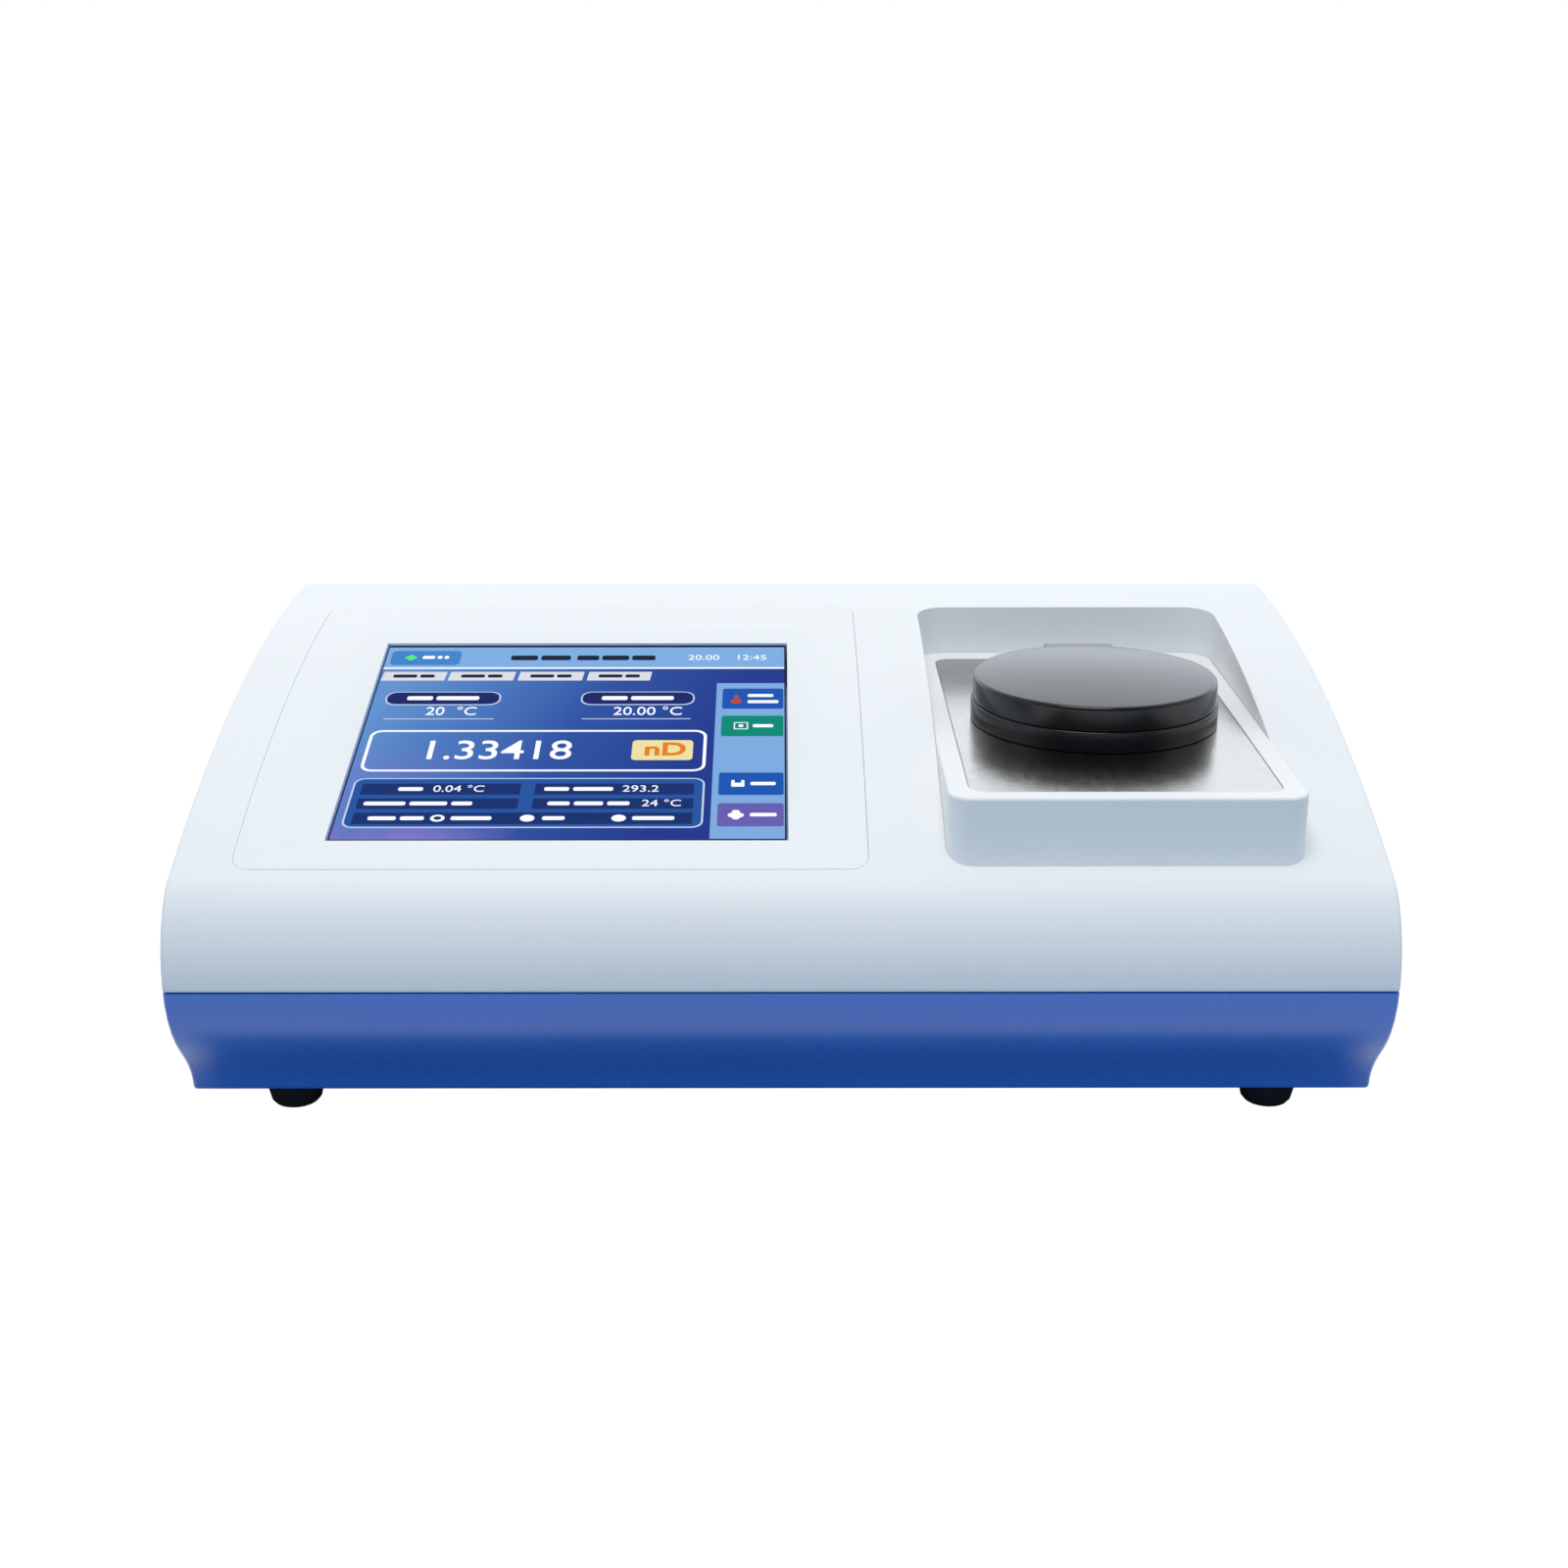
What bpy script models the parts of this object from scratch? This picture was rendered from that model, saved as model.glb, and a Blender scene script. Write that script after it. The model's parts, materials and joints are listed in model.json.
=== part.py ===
# A bench refractometer: a two part case with a tilted touch screen on the left,
# a sample tray with a hinged round lid on the right, and the optics, cooling and
# electronics inside. Metres, +Z up, the front faces -Y, origin under the middle.

import math

import bmesh
import bpy
from mathutils import Matrix, Vector
from mathutils.geometry import interpolate_bezier

# Fits shared by all pieces
GAP = 0.0003
RUNNING_GAP = 0.0006
OVERRUN = 0.004
MERGE = 0.000001

# Case outline seen from the side
CASE_WIDTH = 0.420
CASE_DEPTH = 0.262
CASE_HEIGHT = 0.1413
FOOT_HEIGHT = 0.010
SEAM_HEIGHT = 0.0587
SEAM_GAP = 0.0005
WALL = 0.003
REAR_WALL = 0.012
EDGE_ROUND = 0.0016
CROWN_DROP_SHARE = 0.5739
CROWN_FLAT = 0.006
ROLL_INSET = 0.018
ROLL_START_PULL_SHARE = 0.5
ROLL_END_PULL_SHARE = 0.495
UPRIGHT_HEIGHT = 0.0605
SKIRT_TOP_PULL = 0.016
SKIRT_TURN_INSET = 0.0145
SKIRT_TURN_HEIGHT = 0.0293
SKIRT_TURN_ANGLE = math.radians(46)
SKIRT_TURN_PULL = 0.008
SKIRT_FOOT_INSET = 0.026
SKIRT_FOOT_PULL = 0.007
CROWN_STEPS = 18
ROLL_STEPS = 9
SKIRT_STEPS = 6

# Lap joint between the two shells
LAP_HEIGHT = 0.004
LAP_WALL = 0.0013

# Screws that close the case from below
CASE_SCREW_INSET = 0.0092
CASE_SCREW_FROM_BACK = 0.027
CASE_SCREW_FROM_FRONT = 0.053
BOSS_RADIUS = 0.005
BOSS_RIB = 0.003
BOSS_JOINT_HEIGHT = 0.040
CASE_SCREW_SINK = 0.020
CASE_SCREW_REACH = 0.009
SCREW_RADIUS = 0.0015
SCREW_HEAD_RADIUS = 0.0028
SCREW_HEAD_HEIGHT = 0.002
SCREW_SOCKET_RADIUS = 0.0013
SCREW_SOCKET_DEPTH = 0.001

# Rear opening and the panel in it
PANEL_RECESS = 0.005
PANEL_THICKNESS = 0.002
PANEL_MARGIN = 0.006
PANEL_LEDGE = 0.014
PANEL_CORNER = 0.004
PANEL_SCREW_LOW = 0.036
PANEL_SCREW_DROP = 0.0413
PANEL_SCREW_LENGTH = 0.008

# Feet
FOOT_INSET_X = 0.034
FOOT_FROM_FRONT = 0.039
FOOT_FROM_BACK = 0.031
FOOT_TOP_RADIUS = 0.0108
FOOT_BOTTOM_RADIUS = 0.0086
FOOT_ROUND = 0.002
FOOT_SOCKET_DEPTH = 0.005
FOOT_SCREW_REACH = 0.004

# Screen window, as seen from above
SCREEN_FROM_FRONT = 0.0377
SCREEN_FROM_BACK = 0.083
SCREEN_SINK = 0.0015
SCREEN_BEVEL = 0.0118
FUNNEL_SHARE = 1.1
WINDOW_STEPS = 10
GLASS_STEP = 0.0005
GLASS_THICKNESS = 0.002
GLASS_GAP = 0.0004
GLASS_CORNER = 0.0008
LCD_THICKNESS = 0.008
LCD_BACK_INSET = 0.006
LCD_BACK_THICKNESS = 0.002
COLLAR_WALL = 0.006
BEZEL_SIDE_INSET = 0.02095
BEZEL_LEFT_MARGIN = 0.0296
BEZEL_RIGHT_MARGIN = 0.0275
BEZEL_BACK_MARGIN = 0.040
BEZEL_FRONT_MARGIN = 0.0157
BEZEL_CORNER = 0.006
BEZEL_LIP = 0.005
BEZEL_LIP_THICKNESS = 0.002
BEZEL_LINE = 0.0004
BRACKET_THICKNESS = 0.0015
BRACKET_SLOT_WIDTH = 0.030
BRACKET_SLOT_LENGTH = 0.012
BOARD_THICKNESS = 0.0016
DISPLAY_BOARD_SHARE = 0.65
DISPLAY_CHIP = 0.022
DISPLAY_CHIP_HEIGHT = 0.003

# Sample tray
TRAY_WIDTH = 0.1234
TRAY_SIDE_INSET = 0.0291
TRAY_TO_BEZEL = 0.02775
TRAY_FROM_FRONT = 0.0235
TRAY_FROM_BACK = 0.0417
TRAY_RIM_RISE = 0.02435
TRAY_WALL_DEPTH = 0.033
TRAY_CORNER = 0.0115
TRAY_FRONT_CORNER = 0.008
TRAY_GAP = 0.00035
TRAY_FLOOR = 0.0025
TRAY_WALL = 0.003
TRAY_FLANGE = 0.005
TRAY_FLANGE_THICKNESS = 0.002
TRAY_FLANGE_LENGTH = 0.102
POCKET_WALL = 0.003
POCKET_DEPTH = 0.004

# Steel plate in the tray
PLATE_DROP = 0.0005
PLATE_THICKNESS = 0.0015
PLATE_MARGIN_SIDE = 0.0078
PLATE_MARGIN_FRONT = 0.0077
PLATE_MARGIN_BACK = 0.0102
PLATE_CORNER = 0.006

# Round cover on the plate
STAGE_OFFSET = 0.0003
STAGE_SET_BACK = 0.00035
RING_RADIUS = 0.0469
RING_HEIGHT = 0.0077
RING_CHAMFER = 0.0006
LAND_RADIUS = 0.038
LAND_DEPTH = 0.0022
LID_RADIUS = 0.0462
LID_HEIGHT = 0.0090
LID_GAP = 0.0003
LID_ROUND = 0.0014
LID_ROUND_STEPS = 3
LID_HOLLOW_RADIUS = 0.030
LID_HOLLOW_DEPTH = 0.0035
GASKET_RADIUS = 0.0345
GASKET_WIDTH = 0.0035
GASKET_SINK = 0.0016
HINGE_OFFSET = 0.0478
HINGE_DROP = 0.0037
TAB_WIDTH = 0.0267
TAB_STEP = 0.0002
KNUCKLE_WIDTH = 0.014
KNUCKLE_RADIUS = 0.0026
KNUCKLE_CLEARANCE = 0.0005
HOOD_REACH = 0.0016
LID_TRAVEL = math.radians(105)
PIN_RADIUS = 0.0012

# Sample well and prism
WELL_RADIUS = 0.0297
WELL_RIM = 0.002
WELL_FLOOR_RADIUS = 0.0085
WELL_FLOOR = 0.0024
WELL_BAND = 0.0022
PRISM_FACE_RADIUS = 0.006
PRISM_FACE_DROP = 0.0003
PRISM_BODY_RADIUS = 0.009
PRISM_BODY_HEIGHT = 0.0095
PRISM_FACET_REACH = 0.0105
SEAL_THICKNESS = 0.0017
SEAL_RADIUS = 0.0074
SEAL_CORNERS = 8

# Heated block under the prism, and its cooling
BLOCK_HALF_WIDTH = 0.032
BLOCK_SHOULDER = 0.0076
BLOCK_HEIGHT = 0.0276
BLOCK_DEPTH = 0.050
BEAM_RADIUS = 0.006
PELTIER_WIDTH = 0.030
PELTIER_HEIGHT = 0.024
PELTIER_THICKNESS = 0.0035
SINK_WIDTH = 0.060
SINK_HEIGHT = 0.047
SINK_BASE = 0.005
FIN_COUNT = 9
FIN_THICKNESS = 0.0016
FIN_LENGTH = 0.035

# Light and sensor barrels
BEAM_ANGLE = math.radians(45)
BARREL_RADIUS = 0.011
BARREL_WALL = 0.0025
BARREL_LENGTH = 0.040
LENS_THICKNESS = 0.005
LENS_EDGE = 0.002
LENS_SHARES = (0.0, 0.4, 0.75, 1.0)
COLLIMATOR_PLACE = 0.012
OBJECTIVE_PLACE = 0.018
LAMP_PLUG_LENGTH = 0.009
LAMP_FLANGE = 0.003
LAMP_DOME_RADIUS = 0.0025
LAMP_DOME_LENGTH = 0.004
LAMP_DOME_STEPS = 3
SENSOR_BOARD_SIZE = 0.030
SENSOR_CHIP_WIDTH = 0.010
SENSOR_CHIP_DEPTH = 0.005
SENSOR_CHIP_HEIGHT = 0.002

# Stand of the optics
COLUMN_RADIUS = 0.0035
COLUMN_X = 0.008
COLUMN_Y = 0.019
STAND_BASE_THICKNESS = 0.003
STAND_BASE_MARGIN = 0.008

# Chassis plate on the floor of the case
CHASSIS_THICKNESS = 0.0015
CHASSIS_SIDE_INSET = 0.020
CHASSIS_FRONT_INSET = 0.036
CHASSIS_BACK_GAP = 0.001
CHASSIS_CORNER = 0.006
STANDOFF_HEIGHT = 0.015
STANDOFF_RADIUS = 0.003
STANDOFF_INSET = 0.006

# Main board
MAIN_LEFT_SHARE = -0.357
MAIN_RIGHT_SHARE = 0.238
MAIN_FROM_FRONT = 0.071
MAIN_BACK_GAP = 0.004
CHIP_WIDTH = 0.024
CHIP_HEIGHT = 0.003
CHIP_PLACE_SHARES = ((0.30, 0.35), (0.72, 0.28), (0.70, 0.62))
CAN_RADIUS = 0.005
CAN_HEIGHT = 0.012
CAN_PLACE_SHARES = ((0.14, 0.62), (0.28, 0.62))

# Power supply
SUPPLY_LEFT_SHARE = -0.81
SUPPLY_WIDTH = 0.078
SUPPLY_FROM_BACK = 0.051
SUPPLY_DEPTH = 0.100
SUPPLY_HEIGHT = 0.034
SUPPLY_SHELF = 0.014
SUPPLY_SHELF_DROP = 0.018
TERMINAL_WIDTH = 0.050
TERMINAL_HEIGHT = 0.008
TERMINAL_DEPTH = 0.009

# Fan behind the rear panel
FAN_DROP = 0.0613
FAN_SIZE = 0.040
FAN_THICKNESS = 0.010
FAN_CORNER = 0.003
FAN_BORE_RADIUS = 0.019
FAN_STRUT_WIDTH = 0.003
FAN_STRUT_THICKNESS = 0.002
FAN_HUB_RADIUS = 0.009
FAN_SHAFT_RADIUS = 0.0012
FAN_BLADES = 7
FAN_BLADE_GAP = 0.001
FAN_BLADE_ROOT = 0.001
FAN_BLADE_THICKNESS = 0.0012
FAN_BLADE_WIDTH = 0.0062
FAN_BLADE_PITCH = math.radians(38)
VENT_WIDTH = 0.003
VENT_PITCH = 0.006
VENT_COUNT = 6

# Power inlet
INLET_PLACE_SHARE = -0.752
INLET_Z = 0.048
INLET_WIDTH = 0.027
INLET_HEIGHT = 0.0195
INLET_DEPTH = 0.022
INLET_FLANGE = 0.002
INLET_FLANGE_MARGIN = 0.002
INLET_MOUTH_WIDTH = 0.0238
INLET_MOUTH_HEIGHT = 0.0163
INLET_MOUTH_DEPTH = 0.016
INLET_MOUTH_CUT = 0.004
INLET_PIN_WIDTH = 0.002
INLET_PIN_HEIGHT = 0.004
INLET_PIN_LENGTH = 0.010
INLET_PIN_SPACING = 0.007
INLET_EARTH_LIFT = 0.002
PANEL_CLEARANCE = 0.0003

# Power switch
SWITCH_PLACE_SHARE = -0.562
SWITCH_Z = 0.048
SWITCH_WIDTH = 0.013
SWITCH_HEIGHT = 0.0206
SWITCH_DEPTH = 0.013
SWITCH_FLANGE = 0.0015
SWITCH_FLANGE_MARGIN = 0.0015
SWITCH_WALL = 0.0012
SWITCH_FLOOR = 0.002
ROCKER_SIDE_GAP = 0.0004
ROCKER_END_GAP = 0.001
ROCKER_PIVOT_SINK = 0.003
ROCKER_END_RISE = 0.0034
ROCKER_MIDDLE_RISE = 0.0021
ROCKER_BACK = 0.0015
ROCKER_TILT = math.radians(10)
ROCKER_PIN_RADIUS = 0.001
ROCKER_PIN_REACH = 0.001

# Ports that stand on the main board
PORT_PROUD = 0.0006
USB_PLACE_SHARE = -0.276
USB_WIDTH = 0.0135
USB_HEIGHT = 0.0065
USB_DEPTH = 0.015
USB_WALL = 0.0006
USB_MOUTH_DEPTH = 0.012
USB_TONGUE_WIDTH = 0.011
USB_TONGUE_THICKNESS = 0.0016
USB_TONGUE_LENGTH = 0.009
NETWORK_PLACE_SHARE = -0.133
NETWORK_WIDTH = 0.016
NETWORK_HEIGHT = 0.0135
NETWORK_DEPTH = 0.021
NETWORK_MOUTH_WIDTH = 0.0118
NETWORK_MOUTH_HEIGHT = 0.008
NETWORK_MOUTH_DEPTH = 0.014
NETWORK_NOTCH_WIDTH = 0.006
NETWORK_NOTCH_HEIGHT = 0.002
SERIAL_PLACE_SHARE = 0.076
SERIAL_WIDTH = 0.031
SERIAL_HEIGHT = 0.0125
SERIAL_DEPTH = 0.012
SERIAL_NOSE_WIDTH = 0.017
SERIAL_NOSE_HEIGHT = 0.0083
SERIAL_NOSE_SLOPE = 0.0012
SERIAL_NOSE_REACH = 0.0028
SERIAL_HOLE_RADIUS = 0.0006
SERIAL_HOLE_PITCH = 0.0028
SERIAL_HOLE_DEPTH = 0.004
SERIAL_ROW_PITCH = 0.0028
SERIAL_TOP_ROW = 5

# Facet counts, and the form of a rounded edge
CORNER_STEPS = 4
TRAY_CORNER_STEPS = 6
DISC_STEPS = 64
RING_STEPS = 40
ROD_STEPS = 24
BOSS_STEPS = 14
SCREW_STEPS = 10
EDGE_PROFILE_SHARE = 0.5

# The case's ends, and the arc of its top
FRONT_Y = -CASE_DEPTH / 2
BACK_Y = CASE_DEPTH / 2
HALF_WIDTH = CASE_WIDTH / 2
CROWN_REACH = CASE_DEPTH - CROWN_FLAT - ROLL_INSET
CROWN_DROP = (CASE_HEIGHT - SEAM_HEIGHT) * CROWN_DROP_SHARE
CROWN_RADIUS = (CROWN_REACH**2 + CROWN_DROP**2) / (2 * CROWN_DROP)


def crown_height(y):
    """Height of the case top over a point that lies behind the front roll."""
    reach = max(BACK_Y - CROWN_FLAT - y, 0)
    return CASE_HEIGHT - CROWN_RADIUS + math.sqrt(CROWN_RADIUS**2 - reach**2)


# Places worked out from the sizes above
FLOOR_TOP = FOOT_HEIGHT + WALL
SCREW_HOLE_RADIUS = SCREW_RADIUS + GAP
CHASSIS_BOTTOM = FLOOR_TOP + GAP
CHASSIS_TOP = CHASSIS_BOTTOM + CHASSIS_THICKNESS
PANEL_FACE_Y = BACK_Y - PANEL_RECESS
PANEL_BACK_Y = PANEL_FACE_Y - PANEL_THICKNESS
LEDGE_Y = PANEL_BACK_Y - GAP
REAR_INNER_Y = BACK_Y - REAR_WALL
BEZEL_LEFT = BEZEL_SIDE_INSET - HALF_WIDTH
TRAY_CENTRE_X = HALF_WIDTH - TRAY_SIDE_INSET - TRAY_WIDTH / 2
TRAY_FRONT_Y = FRONT_Y + TRAY_FROM_FRONT
TRAY_BACK_Y = BACK_Y - TRAY_FROM_BACK
BEZEL_RIGHT = TRAY_CENTRE_X - TRAY_WIDTH / 2 - TRAY_TO_BEZEL
SCREEN_LEFT = BEZEL_LEFT + BEZEL_LEFT_MARGIN
SCREEN_RIGHT = BEZEL_RIGHT - BEZEL_RIGHT_MARGIN
SCREEN_WIDTH = SCREEN_RIGHT - SCREEN_LEFT
SCREEN_FRONT_Y = FRONT_Y + SCREEN_FROM_FRONT
SCREEN_BACK_Y = BACK_Y - SCREEN_FROM_BACK
STAGE_X = TRAY_CENTRE_X + STAGE_OFFSET
STAGE_Y = (TRAY_FRONT_Y + TRAY_BACK_Y) / 2 + STAGE_SET_BACK
RIM_TOP = crown_height(TRAY_FRONT_Y) + TRAY_RIM_RISE
PLATE_TOP = RIM_TOP - PLATE_DROP
TRAY_FLOOR_TOP = PLATE_TOP - PLATE_THICKNESS - GAP
TRAY_FLOOR_BOTTOM = TRAY_FLOOR_TOP - TRAY_FLOOR
RING_BOTTOM = PLATE_TOP + GAP
RING_TOP = RING_BOTTOM + RING_HEIGHT
LAND_TOP = RING_TOP - LAND_DEPTH
LID_BOTTOM = RING_TOP + LID_GAP
LID_TOP = LID_BOTTOM + LID_HEIGHT
TAB_TOP = LID_TOP - TAB_STEP
HINGE = Vector((STAGE_X, STAGE_Y + HINGE_OFFSET, TAB_TOP - HINGE_DROP))
BLOCK_TOP = TRAY_FLOOR_BOTTOM - GAP
BLOCK_BOTTOM = BLOCK_TOP - BLOCK_HEIGHT
BLOCK_BACK_Y = STAGE_Y + BLOCK_DEPTH / 2
WELL_BOTTOM = BLOCK_TOP + GAP
WELL_TOP = LAND_TOP - GAP
WELL_FLOOR_TOP = WELL_BOTTOM + WELL_FLOOR
PRISM_TOP = WELL_FLOOR_TOP - PRISM_FACE_DROP
PRISM_SHOULDER = WELL_BOTTOM - SEAL_THICKNESS - 2 * GAP
BOARD_BOTTOM = CHASSIS_TOP + STANDOFF_HEIGHT + GAP
BOARD_TOP = BOARD_BOTTOM + BOARD_THICKNESS
PORT_BOTTOM = BOARD_TOP + GAP
SINK_FRONT_Y = BLOCK_BACK_Y + GAP + PELTIER_THICKNESS + GAP
CHASSIS_HALF_WIDTH = HALF_WIDTH - CHASSIS_SIDE_INSET
MAIN_LEFT_X = HALF_WIDTH * MAIN_LEFT_SHARE
MAIN_RIGHT_X = HALF_WIDTH * MAIN_RIGHT_SHARE
MAIN_FRONT_Y = FRONT_Y + MAIN_FROM_FRONT
SUPPLY_LEFT_X = HALF_WIDTH * SUPPLY_LEFT_SHARE
SUPPLY_FRONT_Y = BACK_Y - SUPPLY_FROM_BACK - SUPPLY_DEPTH
INLET_X = HALF_WIDTH * INLET_PLACE_SHARE
SWITCH_X = HALF_WIDTH * SWITCH_PLACE_SHARE
USB_X = HALF_WIDTH * USB_PLACE_SHARE
NETWORK_X = HALF_WIDTH * NETWORK_PLACE_SHARE
SERIAL_X = HALF_WIDTH * SERIAL_PLACE_SHARE
FAN_X = STAGE_X
FAN_Z = CASE_HEIGHT - FAN_DROP
FAN_REAR_Y = PANEL_BACK_Y - GAP
FAN_FRONT_Y = FAN_REAR_Y - FAN_THICKNESS
GLASS_TOP = -GLASS_STEP
LCD_TOP = GLASS_TOP - GLASS_THICKNESS - GAP
LCD_BOTTOM = LCD_TOP - LCD_THICKNESS
BRACKET_TOP = LCD_BOTTOM - GAP
DISPLAY_BOARD_TOP = BRACKET_TOP - BRACKET_THICKNESS - GAP
DISPLAY_BOARD_BOTTOM = DISPLAY_BOARD_TOP - BOARD_THICKNESS
BARREL_BORE = BARREL_RADIUS - BARREL_WALL


# Scene, collections and materials


def clear_scene():
    for old in list(bpy.data.objects):
        bpy.data.objects.remove(old, do_unlink=True)


def new_collection(name):
    collection = bpy.data.collections.new(name)
    bpy.context.scene.collection.children.link(collection)
    return collection


clear_scene()
PARTS = new_collection("bench_refractometer")
CUTTERS = new_collection("cutters")


def material(name, colour, roughness, metallic=0.0):
    made = bpy.data.materials.new(name)
    made.use_nodes = True
    shader = made.node_tree.nodes["Principled BSDF"]
    shader.inputs["Base Color"].default_value = (*colour, 1.0)
    shader.inputs["Roughness"].default_value = roughness
    shader.inputs["Metallic"].default_value = metallic
    made.diffuse_color = (*colour, 1.0)
    return made


WHITE_PLASTIC = material("white_plastic", (0.86, 0.90, 0.94), 0.42)
BLUE_PAINT = material("blue_paint", (0.045, 0.155, 0.55), 0.38)
BLACK_PLASTIC = material("black_plastic", (0.012, 0.013, 0.016), 0.45)
BLACK_RUBBER = material("black_rubber", (0.010, 0.010, 0.011), 0.80)
BRUSHED_STEEL = material("brushed_steel", (0.60, 0.59, 0.57), 0.32, 1.0)
BRIGHT_STEEL = material("bright_steel", (0.62, 0.62, 0.62), 0.22, 1.0)
ALUMINIUM = material("aluminium", (0.70, 0.71, 0.72), 0.38, 1.0)
GREY_PAINT = material("grey_paint", (0.45, 0.47, 0.50), 0.50)
SCREEN_GLASS = material("screen_glass", (0.030, 0.080, 0.30), 0.12)
CLEAR_GLASS = material("clear_glass", (0.80, 0.88, 0.92), 0.05)
CERAMIC = material("ceramic", (0.85, 0.85, 0.83), 0.60)
BOARD_GREEN = material("board_green", (0.02, 0.14, 0.06), 0.45)


# Making objects


def add_object(name, mesh, finish):
    """Links a mesh as a part, or as a hidden helper where there is no finish."""
    obj = bpy.data.objects.new(name, mesh)
    if finish:
        PARTS.objects.link(obj)
        mesh.materials.append(finish)
    else:
        CUTTERS.objects.link(obj)
        obj.hide_render = True
        obj.display_type = "WIRE"
    return obj


def from_bmesh(name, bm, finish):
    mesh = bpy.data.meshes.new(name)
    bmesh.ops.recalc_face_normals(bm, faces=bm.faces)
    bm.to_mesh(mesh)
    bm.free()
    return add_object(name, mesh, finish)


def smooth(obj):
    """Round pieces are shaded smooth, with their corners kept."""
    obj.data.shade_smooth()
    obj.data.set_sharp_from_angle(angle=math.radians(35))
    return obj


def runs_along(edge, axis):
    run = (edge.verts[1].co - edge.verts[0].co).normalized()
    return round(abs(run["XYZ".index(axis)])) == 1


def box(
    name, low, high, finish=None, radius=0.0, along="Z", steps=CORNER_STEPS, front_radius=None
):
    """A box between two corners. Its edges along one axis can be rounded, and upright
    edges at its front by a radius of their own."""
    low = Vector(low)
    high = Vector(high)
    bm = bmesh.new()
    bmesh.ops.create_cube(bm, size=1.0)
    bmesh.ops.scale(bm, vec=high - low, verts=bm.verts)
    bmesh.ops.translate(bm, vec=(low + high) / 2, verts=bm.verts)
    if radius:
        edges = [edge for edge in bm.edges if runs_along(edge, along)]
        rounded = [(edges, radius)]
        if front_radius:
            middle = (low.y + high.y) / 2
            front = [edge for edge in edges if edge.verts[0].co.y < middle]
            back = [edge for edge in edges if edge not in front]
            rounded = [(front, front_radius), (back, radius)]
        for picked, offset in rounded:
            bmesh.ops.bevel(
                bm,
                geom=picked,
                offset=offset,
                segments=steps,
                profile=EDGE_PROFILE_SHARE,
                affect="EDGES",
            )
    return from_bmesh(name, bm, finish)


def rod(name, radius, start, end, finish=None, steps=ROD_STEPS):
    """A solid cylinder between two points."""
    start = Vector(start)
    end = Vector(end)
    bm = bmesh.new()
    bmesh.ops.create_cone(
        bm,
        cap_ends=True,
        segments=steps,
        radius1=radius,
        radius2=radius,
        depth=(end - start).length,
    )
    turn = Vector((0, 0, 1)).rotation_difference(end - start).to_matrix()
    bmesh.ops.rotate(bm, cent=(0, 0, 0), matrix=turn, verts=bm.verts)
    bmesh.ops.translate(bm, vec=(start + end) / 2, verts=bm.verts)
    return smooth(from_bmesh(name, bm, finish))


def turned(name, profile, place, finish=None, steps=RING_STEPS, closed=True):
    """Spins a profile of (radius, height) about Z. It runs down its outer side."""
    mesh = bpy.data.meshes.new(name)
    points = [(radius, 0, height) for radius, height in profile]
    edges = [(i, i + 1) for i in range(len(points) - 1)]
    if closed:
        edges.append((len(points) - 1, 0))
    mesh.from_pydata(points, edges, [])
    obj = add_object(name, mesh, finish)
    obj.location = place
    screw = obj.modifiers.new("turn", "SCREW")
    screw.axis = "Z"
    screw.steps = steps
    screw.render_steps = steps
    screw.use_merge_vertices = True
    screw.merge_threshold = MERGE
    screw.use_smooth_shade = False
    return obj


def flat_outline(name, outline, thickness, finish=None):
    """A flat outline of (x, y) points, filled and given a thickness, as a mesh."""
    curve = bpy.data.curves.new(name, "CURVE")
    curve.dimensions = "2D"
    curve.fill_mode = "BOTH"
    curve.extrude = thickness / 2
    spline = curve.splines.new("POLY")
    spline.points.add(len(outline) - 1)
    for point, (x, y) in zip(spline.points, outline):
        point.co = (x, y, 0, 1)
    spline.use_cyclic_u = True
    drawn = bpy.data.objects.new(name, curve)
    bpy.context.scene.collection.objects.link(drawn)
    graph = bpy.context.evaluated_depsgraph_get()
    mesh = bpy.data.meshes.new_from_object(drawn.evaluated_get(graph))
    bpy.data.objects.remove(drawn, do_unlink=True)
    bpy.data.curves.remove(curve)
    bm = bmesh.new()
    bm.from_mesh(mesh)
    bpy.data.meshes.remove(mesh)
    bmesh.ops.remove_doubles(bm, verts=bm.verts, dist=MERGE)
    bmesh.ops.dissolve_limit(
        bm, angle_limit=math.radians(0.05), verts=bm.verts, edges=bm.edges
    )
    return from_bmesh(name, bm, finish)


def side_slice(name, outline, x_low, x_high, finish=None):
    """A solid with an outline of (y, z) points, from one side to the other."""
    obj = flat_outline(name, outline, x_high - x_low, finish)
    obj.rotation_euler = (math.pi / 2, 0, math.pi / 2)
    obj.location = ((x_low + x_high) / 2, 0, 0)
    return obj


def front_slice(name, outline, y_low, y_high, finish=None):
    """A solid with an outline of (x, z) points, from front to back."""
    obj = flat_outline(name, outline, y_high - y_low, finish)
    obj.rotation_euler = (math.pi / 2, 0, 0)
    obj.location = (0, (y_low + y_high) / 2, 0)
    return obj


def boolean(obj, operation, tools):
    for tool in tools:
        made = obj.modifiers.new(tool.name, "BOOLEAN")
        made.operation = operation
        made.object = tool
        made.solver = "EXACT"
    return obj


def cut(obj, *tools):
    return boolean(obj, "DIFFERENCE", tools)


def join(obj, *tools):
    return boolean(obj, "UNION", tools)


def keep_inside(obj, *tools):
    return boolean(obj, "INTERSECT", tools)


def empty(name, place, turn=(0, 0, 0)):
    obj = bpy.data.objects.new(name, None)
    PARTS.objects.link(obj)
    obj.location = place
    obj.rotation_euler = turn
    return obj


def hang_on(parent, *children):
    """Pieces whose mesh is written in the frame of an empty."""
    for child in children:
        child.parent = parent


def pivot_on(parent, *children):
    """Pieces whose mesh is written in the frame of the object, on a pivot."""
    for child in children:
        child.parent = parent
        child.location -= parent.location


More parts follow.
